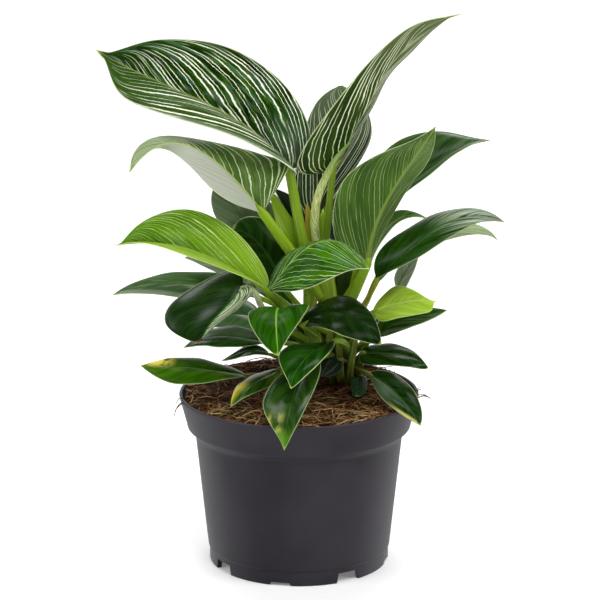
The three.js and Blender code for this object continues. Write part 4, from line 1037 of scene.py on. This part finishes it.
def leafMaterial(name, look, number):
    # ground colour, stripes, shades, midrib, tip, margin and patches, one over the other
    material, graph, inputs = newMaterial(name, look["roughness"], look["gloss"])
    along, vein, pitch = [graph.attribute(key) for key in ("along", "vein", "pitch")]
    fromRib, fromEdge, upper = [graph.attribute(key) for key in ("fromRib", "fromEdge", "upper")]
    seed = 3.7 * number

    def pattern(lengthwise, across, shift=0, detail=2):
        # noise over the blade, stretched along the first value
        return graph.noise(graph.vector(lengthwise, fromRib * across, seed + shift), 1, detail)

    drift = pattern(along * 8, 0.14) - 0.5
    grit = pattern(vein * 60, 0.6) - 0.5
    wobble = pattern(along * 20, 0.3, detail=1) - 0.5
    jag = look["jag"] * (pattern(along * 110, 1.3, detail=1) - 0.5)
    field = vein + look["drift"] * drift + look["wander"] * wobble + look["grit"] * grit
    field = field + 31 * graph.math("GREATER_THAN", fromRib, 0)  # each side has lanes of its own
    if "leftLines" in look:  # the left side has this share of the lines
        scale = 1 - (1 - look["leftLines"]) * graph.math("LESS_THAN", fromRib, 0)
        field, pitch = field * scale, pitch / scale
    main = veinLines(graph, field, pitch, along, jag, look, look["stripe"], look["lines"], seed)
    finer = look["lines"] * look["finePerLine"]
    thin = veinLines(graph, field, pitch, along, jag, look | {"broad": 0}, look["fineStripe"], finer,
                     seed + 5)
    room = look["fineRoom"]  # no fine lines where they would crowd
    patchy = pattern(vein * 3, 0.1, 2).rising(0.38, 0.6) * (pitch / finer).rising(room, room * 1.9)
    stripes = main * (look["amount"] * (0.9 + 0.8 * grit))
    stripes = graph.math("MAXIMUM", stripes, thin * patchy * look["fine"])
    if "tipFade" in look:  # fewer lines show near the tip
        stripes = stripes * (1 - look["tipFade"] * along.rising(0.6, 0.95))

    blotch = pattern(vein * 4 + along * 3, 0.08, detail=3)
    skin = graph.mix(blotch.rising(0.35, 0.65), look["deep"], look["fresh"])
    # on some leaves the mottle is painted sheen: pale or bluish-grey streaks
    for colour, strength, fineness, low in look.get("mottle", ()):  # short streaks along the veins
        streaks = pattern(vein * fineness, 0.3, low)
        skin = graph.mix(streaks.rising(low, low + 0.16) * strength, skin, colour)
    skin = graph.mix(stripes, skin, look["line"])
    # on some leaves a shade is painted sheen or a painted reflection: a pale grey side, margin or end
    for shade in look.get("shades", ()):  # a paler or greyer side, margin or end of the blade
        mask = shade["strength"] * (1 - shade.get("keep", 0.4) * stripes)
        if "side" in shade:
            mask = mask * (shade["side"] * fromRib).rising(-0.3, 0.8)
        if "edge" in shade:
            mask = mask * (1 - fromEdge.rising(shade["edge"] * 0.3, shade["edge"]))
        if "from" in shade:
            mask = mask * along.rising(shade["from"], shade["to"])
        if "streaky" in shade:
            mask = mask * pattern(vein * 7, 0.12, 3).rising(0.4, 0.6)
        skin = graph.mix(mask, skin, shade["colour"])
    if "darkLines" in look:  # lines that are darker than a pale left side
        skin = graph.mix(main * (0 - fromRib).rising(-0.3, 0.8) * 0.7, skin, look["darkLines"])
    if "sideLines" in look:  # a folded side that is striped along its margin
        own = look["sideLines"]
        bands = veinLines(graph, fromEdge * 0.25 + 0.04 * drift, fromEdge * 0 + 4, along, jag,
                          look | {"broad": 0.3, "crowd": 0.1}, own["stripe"], own["lines"], seed + 9)
        skin = graph.mix(bands * (own["side"] * fromRib).rising(-0.2, 0.3), skin, own["colour"])

    ribWidth = (look["ribGrowth"] * (1 - along) + look["ribTip"]) * look["ribWide"]
    ribMask = (1 - (abs(fromRib) / ribWidth).rising(0.6, 1.5)) * look["ribShow"]
    skin = graph.mix(ribMask, skin, look["midrib"])
    skin = graph.mix(along.rising(*look["tipRange"]) * look["tipShow"], skin, look["tip"])
    low, high = [reach * look["edgeWide"] for reach in look["edgeRange"]]
    skin = graph.mix((1 - fromEdge.rising(low, high)) * look["edgeShow"], skin, look["edge"])
    for patch in look.get("patches", ()):
        near = 1 - abs(along - patch["at"]).rising(patch["size"] * 0.3, patch["size"])
        spots = pattern(along * patch["scale"], 0.25, 2)
        mask = near * spots.rising(patch.get("low", 0.3), patch.get("sharp", 0.75)) * patch["strength"]
        if "side" in patch:
            mask = mask * (patch["side"] * fromRib).rising(patch["from"], patch["from"] + 4)
        skin = graph.mix(mask, skin, patch["colour"])
    below = graph.mix(look["underShare"], skin, look["under"])
    rough = look["roughness"] + look["underRough"] * (1 - upper) + look["blotchRough"] * (blotch - 0.5)
    relief = pattern(vein * look["lines"] * 1.5, 0.04)
    relief = relief * graph.math("MINIMUM", pitch / 25, 1)  # flatter where the veins crowd
    feed(inputs, Base_Color=graph.mix(upper, below, skin), Roughness=rough,
         Normal=graph.bump(relief, look["relief"], look["reliefDepth"]))
    return material


stalks = {
    # green and shade are painted shade low on the stalks, and the dark leaf green is painted shade on the
    # sheaths with flush -1
    "rings": 26, "sides": 20, "groove": 0.3, "wing": 0.14, "lime": "#8db01a", "green": "#56791a",
    "olive": "#716e28", "streak": "#c3cf74", "red": "#8a4a26", "shade": "#2c3a10", "flushed": "#c98a3c",
    "pale": "#b9c39c", "shadeGreen": "#1d400a", "roughness": 0.42, "gloss": 0.3,
    # painted shade: sheaths with flush -1 are drawn in dark leaf green where the crown is in shade
    "sheaths": [  # flush is -1 where as dark as a leaf, 1 where red and yellow, 2 where pale
        {"path": [(8, 10, 104), (6, 9, 124), (5, 7, 142), (3, 5, 160)], "radii": [4, 4, 3, 2.2]},
        {"path": [(20, 14, 104), (17, 12, 124), (15, 11, 142), (13, 10, 160)], "radii": [4, 4, 3, 2]},
        {"path": [(24, 18, 112), (23, 17, 130), (22.5, 16, 152)], "radii": [4.5, 5.8, 4.2], "flush": -1},
        {"path": [(6, 17, 103), (2, 14, 115), (-1, 13, 124)], "radii": [2.5, 3.2, 2], "flush": -1},
        {"path": [(24, 12, 118), (27, 9, 136), (29.5, 6, 153)], "radii": [2.6, 2.6, 1.6]},
        {"path": [(-13, 8, 186), (-7, 8, 172), (1, 8, 157)], "radii": [0.3, 0.9, 1.1], "flat": 5},
        {"path": [(6.4, 6, 154), (5.4, 6, 167), (4, 7, 182)], "radii": [1.6, 1.5, 0.4], "flat": 1.8,
         "flush": 1},
        {"path": [(19, 17, 84), (15.5, 9, 98), (15, 8, 118)], "radii": [2.3, 2, 1.8]},
        {"path": [(22, 16, 84), (20.5, 8, 98), (20, 8, 116)], "radii": [2.2, 2, 1.7]},
        {"path": [(25, 16, 84), (26, 9, 97), (28.5, 8, 113)], "radii": [2.2, 2, 1.6]},
        {"path": [(28, 18, 84), (30.5, 11, 97), (34, 8, 110)], "radii": [2.4, 2.1, 1.6]},
    ],
}
stem = {
    "path": [(25, 27, 60), (25, 27, 86), (21, 21, 104), (15, 14, 124), (11, 10, 144), (10, 9, 152)],
    "radii": [5.5, 5.5, 5.2, 4.8, 4, 3], "rings": 40, "sides": 28, "tone": 0.15,
}
frontSide = (0, -1.0, 0)


def stalkSection(angle, share):
    # a round stalk with a groove along its upper side and a low wing on either side of it
    off = np.abs((angle + math.pi) % (2 * math.pi) - math.pi)
    groove = stalks["groove"] * np.exp(-(off / 0.42) ** 2)
    wing = stalks["wing"] * np.exp(-((off - 0.8) / 0.3) ** 2)
    return 1 - groove + wing


def stalkParts():
    # the stem, the sheaths round it, and for each leaf a stalk that runs on into its midrib;
    # yields each one's tube, its tone and its flush
    rings, sides = stalks["rings"], stalks["sides"]
    share = np.linspace(0, 1, rings)
    radii = evenly(stem["radii"], stem["rings"])
    path = smoothPath(stem["path"], stem["rings"])
    yield tubeAlong(path, radii, stem["sides"], frontSide), stem["tone"], 0
    for number, sheath in enumerate(stalks["sheaths"]):
        radii = evenly(sheath["radii"], rings) * np.minimum(1, 0.3 + 9 * (1 - share))
        path = smoothPath(sheath["path"], rings)
        tube = tubeAlong(path, radii, sides, frontSide, stalkSection, sheath.get("flat", 1))
        yield tube, (0.31 * number + 0.4) % 1, sheath.get("flush", 0.0)
    for number, name in enumerate(leaves):
        leaf = ownValues(name)
        end = ribAt(leaf, np.array([0.0, 0.03, 0.07]))
        path = smoothPath(leaf["stalk"] + end.tolist(), rings)
        outward = path[-1] - path[0]
        outward[2] = 0
        hint = np.array([0, 0, 1.0]) - unit(outward)
        root, tip = leaf["thick"]
        radii = (root + (tip - root) * share) * np.interp(share, [0, 0.88, 0.95, 1], [1, 1, 0.75, 0.3])
        tube = tubeAlong(path, radii, sides, hint, stalkSection, leaf["flat"])
        yield tube, (0.618 * number) % 1, np.where(tube[2]["along"] > 0.5, leaf["stalkFlush"], 0)


def makeStalks():
    parts = []
    for (points, faces, values), tone, flush in stalkParts():
        values["tone"] = np.full(len(points), tone)
        values["flush"] = np.zeros(len(points)) + flush
        values["height"] = points[:, 2]
        parts.append((points, faces, values))
    points, faces, values = joined(parts)
    material, graph, inputs = newMaterial("stalkSkin", stalks["roughness"], stalks["gloss"])
    along, around, tone = [graph.attribute(key) for key in ("along", "around", "tone")]
    height, flush = graph.attribute("height"), graph.attribute("flush")
    streak = graph.noise(graph.vector(around * 2.2, along * 1.4, tone * 40), 1, 3)
    cloud = graph.noise(graph.vector(around * 0.6, along * 4, tone * 31), 1, 2)
    lines = graph.noise(graph.vector(around * 5, along * 0.6, tone * 17), 1, 2)
    # painted shade: the stalks are drawn darker green low down, under the leaves, and lime higher up
    skin = graph.mix(height.rising(96, 150) * (0.6 + 0.4 * tone), stalks["green"], stalks["lime"])
    skin = graph.mix(streak.rising(0.55, 0.68) * 0.6, skin, stalks["streak"])
    skin = graph.mix((1 - height.rising(86, 114)) * cloud.rising(0.3, 0.55) * 0.85, skin, stalks["olive"])
    skin = graph.mix(cloud.rising(0.57, 0.68) * (1 - height.rising(120, 170)) * 0.55, skin, stalks["red"])
    # painted shade: dark streaks low down between the stalks
    skin = graph.mix(lines.rising(0.52, 0.62) * (1 - height.rising(105, 135)) * 0.6, skin, stalks["shade"])
    skin = graph.mix(flush.rising(0, 1) * streak.rising(0.4, 0.6) * 0.8, skin, stalks["flushed"])
    skin = graph.mix(flush.rising(1, 2) * (0.6 + 0.4 * streak), skin, stalks["pale"])
    # painted shade: dark leaf green over the sheaths with flush -1
    skin = graph.mix((0 - flush).rising(0, 1) * 0.9, skin, stalks["shadeGreen"])
    feed(inputs, Base_Color=skin, Normal=graph.bump(streak, 0.2, 0.0005))
    piece = buildMesh("stemAndStalks", points, faces, values, slot="stalk", material=material)
    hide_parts("stem_and_leaf_stalks")


furled = {
    "path": [(10, 9, 152.4), (8, 4, 169), (9, 1, 185), (14, -2, 199), (19, -3, 208), (25, -3, 215)],
    "radii": [1.8, 2.1, 2.1, 2, 1.5, 0.5], "rings": 60, "sides": 44, "lap": 0.2, "twist": 5,
    "light": "#dfe39a", "green": "#8ea34a", "dark": "#4f7a22", "roughness": 0.45,
}


def rolledSection(angle, share):
    # the radius grows round the section, so that the outer margin laps over the inner one
    turn = ((angle - furled["twist"] * share) % (2 * math.pi)) / (2 * math.pi)
    return 0.94 + furled["lap"] * turn ** 3


def makeFurled():
    path = smoothPath(furled["path"], furled["rings"])
    radii = evenly(furled["radii"], furled["rings"])
    points, faces, values = tubeAlong(path, radii, furled["sides"], frontSide, rolledSection)
    material, graph, inputs = newMaterial("furledSkin", furled["roughness"])
    along, around = graph.attribute("along"), graph.attribute("around")
    streak = graph.noise(graph.vector(around * 3 - along * 44, along * 3 + around * 0.5), 1, 3)
    skin = graph.mix(streak.rising(0.35, 0.65), furled["green"], furled["light"])
    skin = graph.mix(along.rising(0.5, 0.95) * 0.8, skin, furled["dark"])
    feed(inputs, Base_Color=skin, Normal=graph.bump(streak, 0.3, 0.0006))
    piece = buildMesh("furledLeaf", points, faces, values, sharpAngle=60, slot="furled_leaf",
                      material=material)
    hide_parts("furled_leaf")


makeCamera()
makeLights()
makeFloor()
print("stage set")
makePot()
makeSoil()
print("pot and soil made")
makeStalks()
makeFurled()
print("stem, stalks and furled leaf made")
for number, name in enumerate(leaves, 1):
    makeBlade(name, ownValues(name), number)
print("leaves made:", len(leaves))
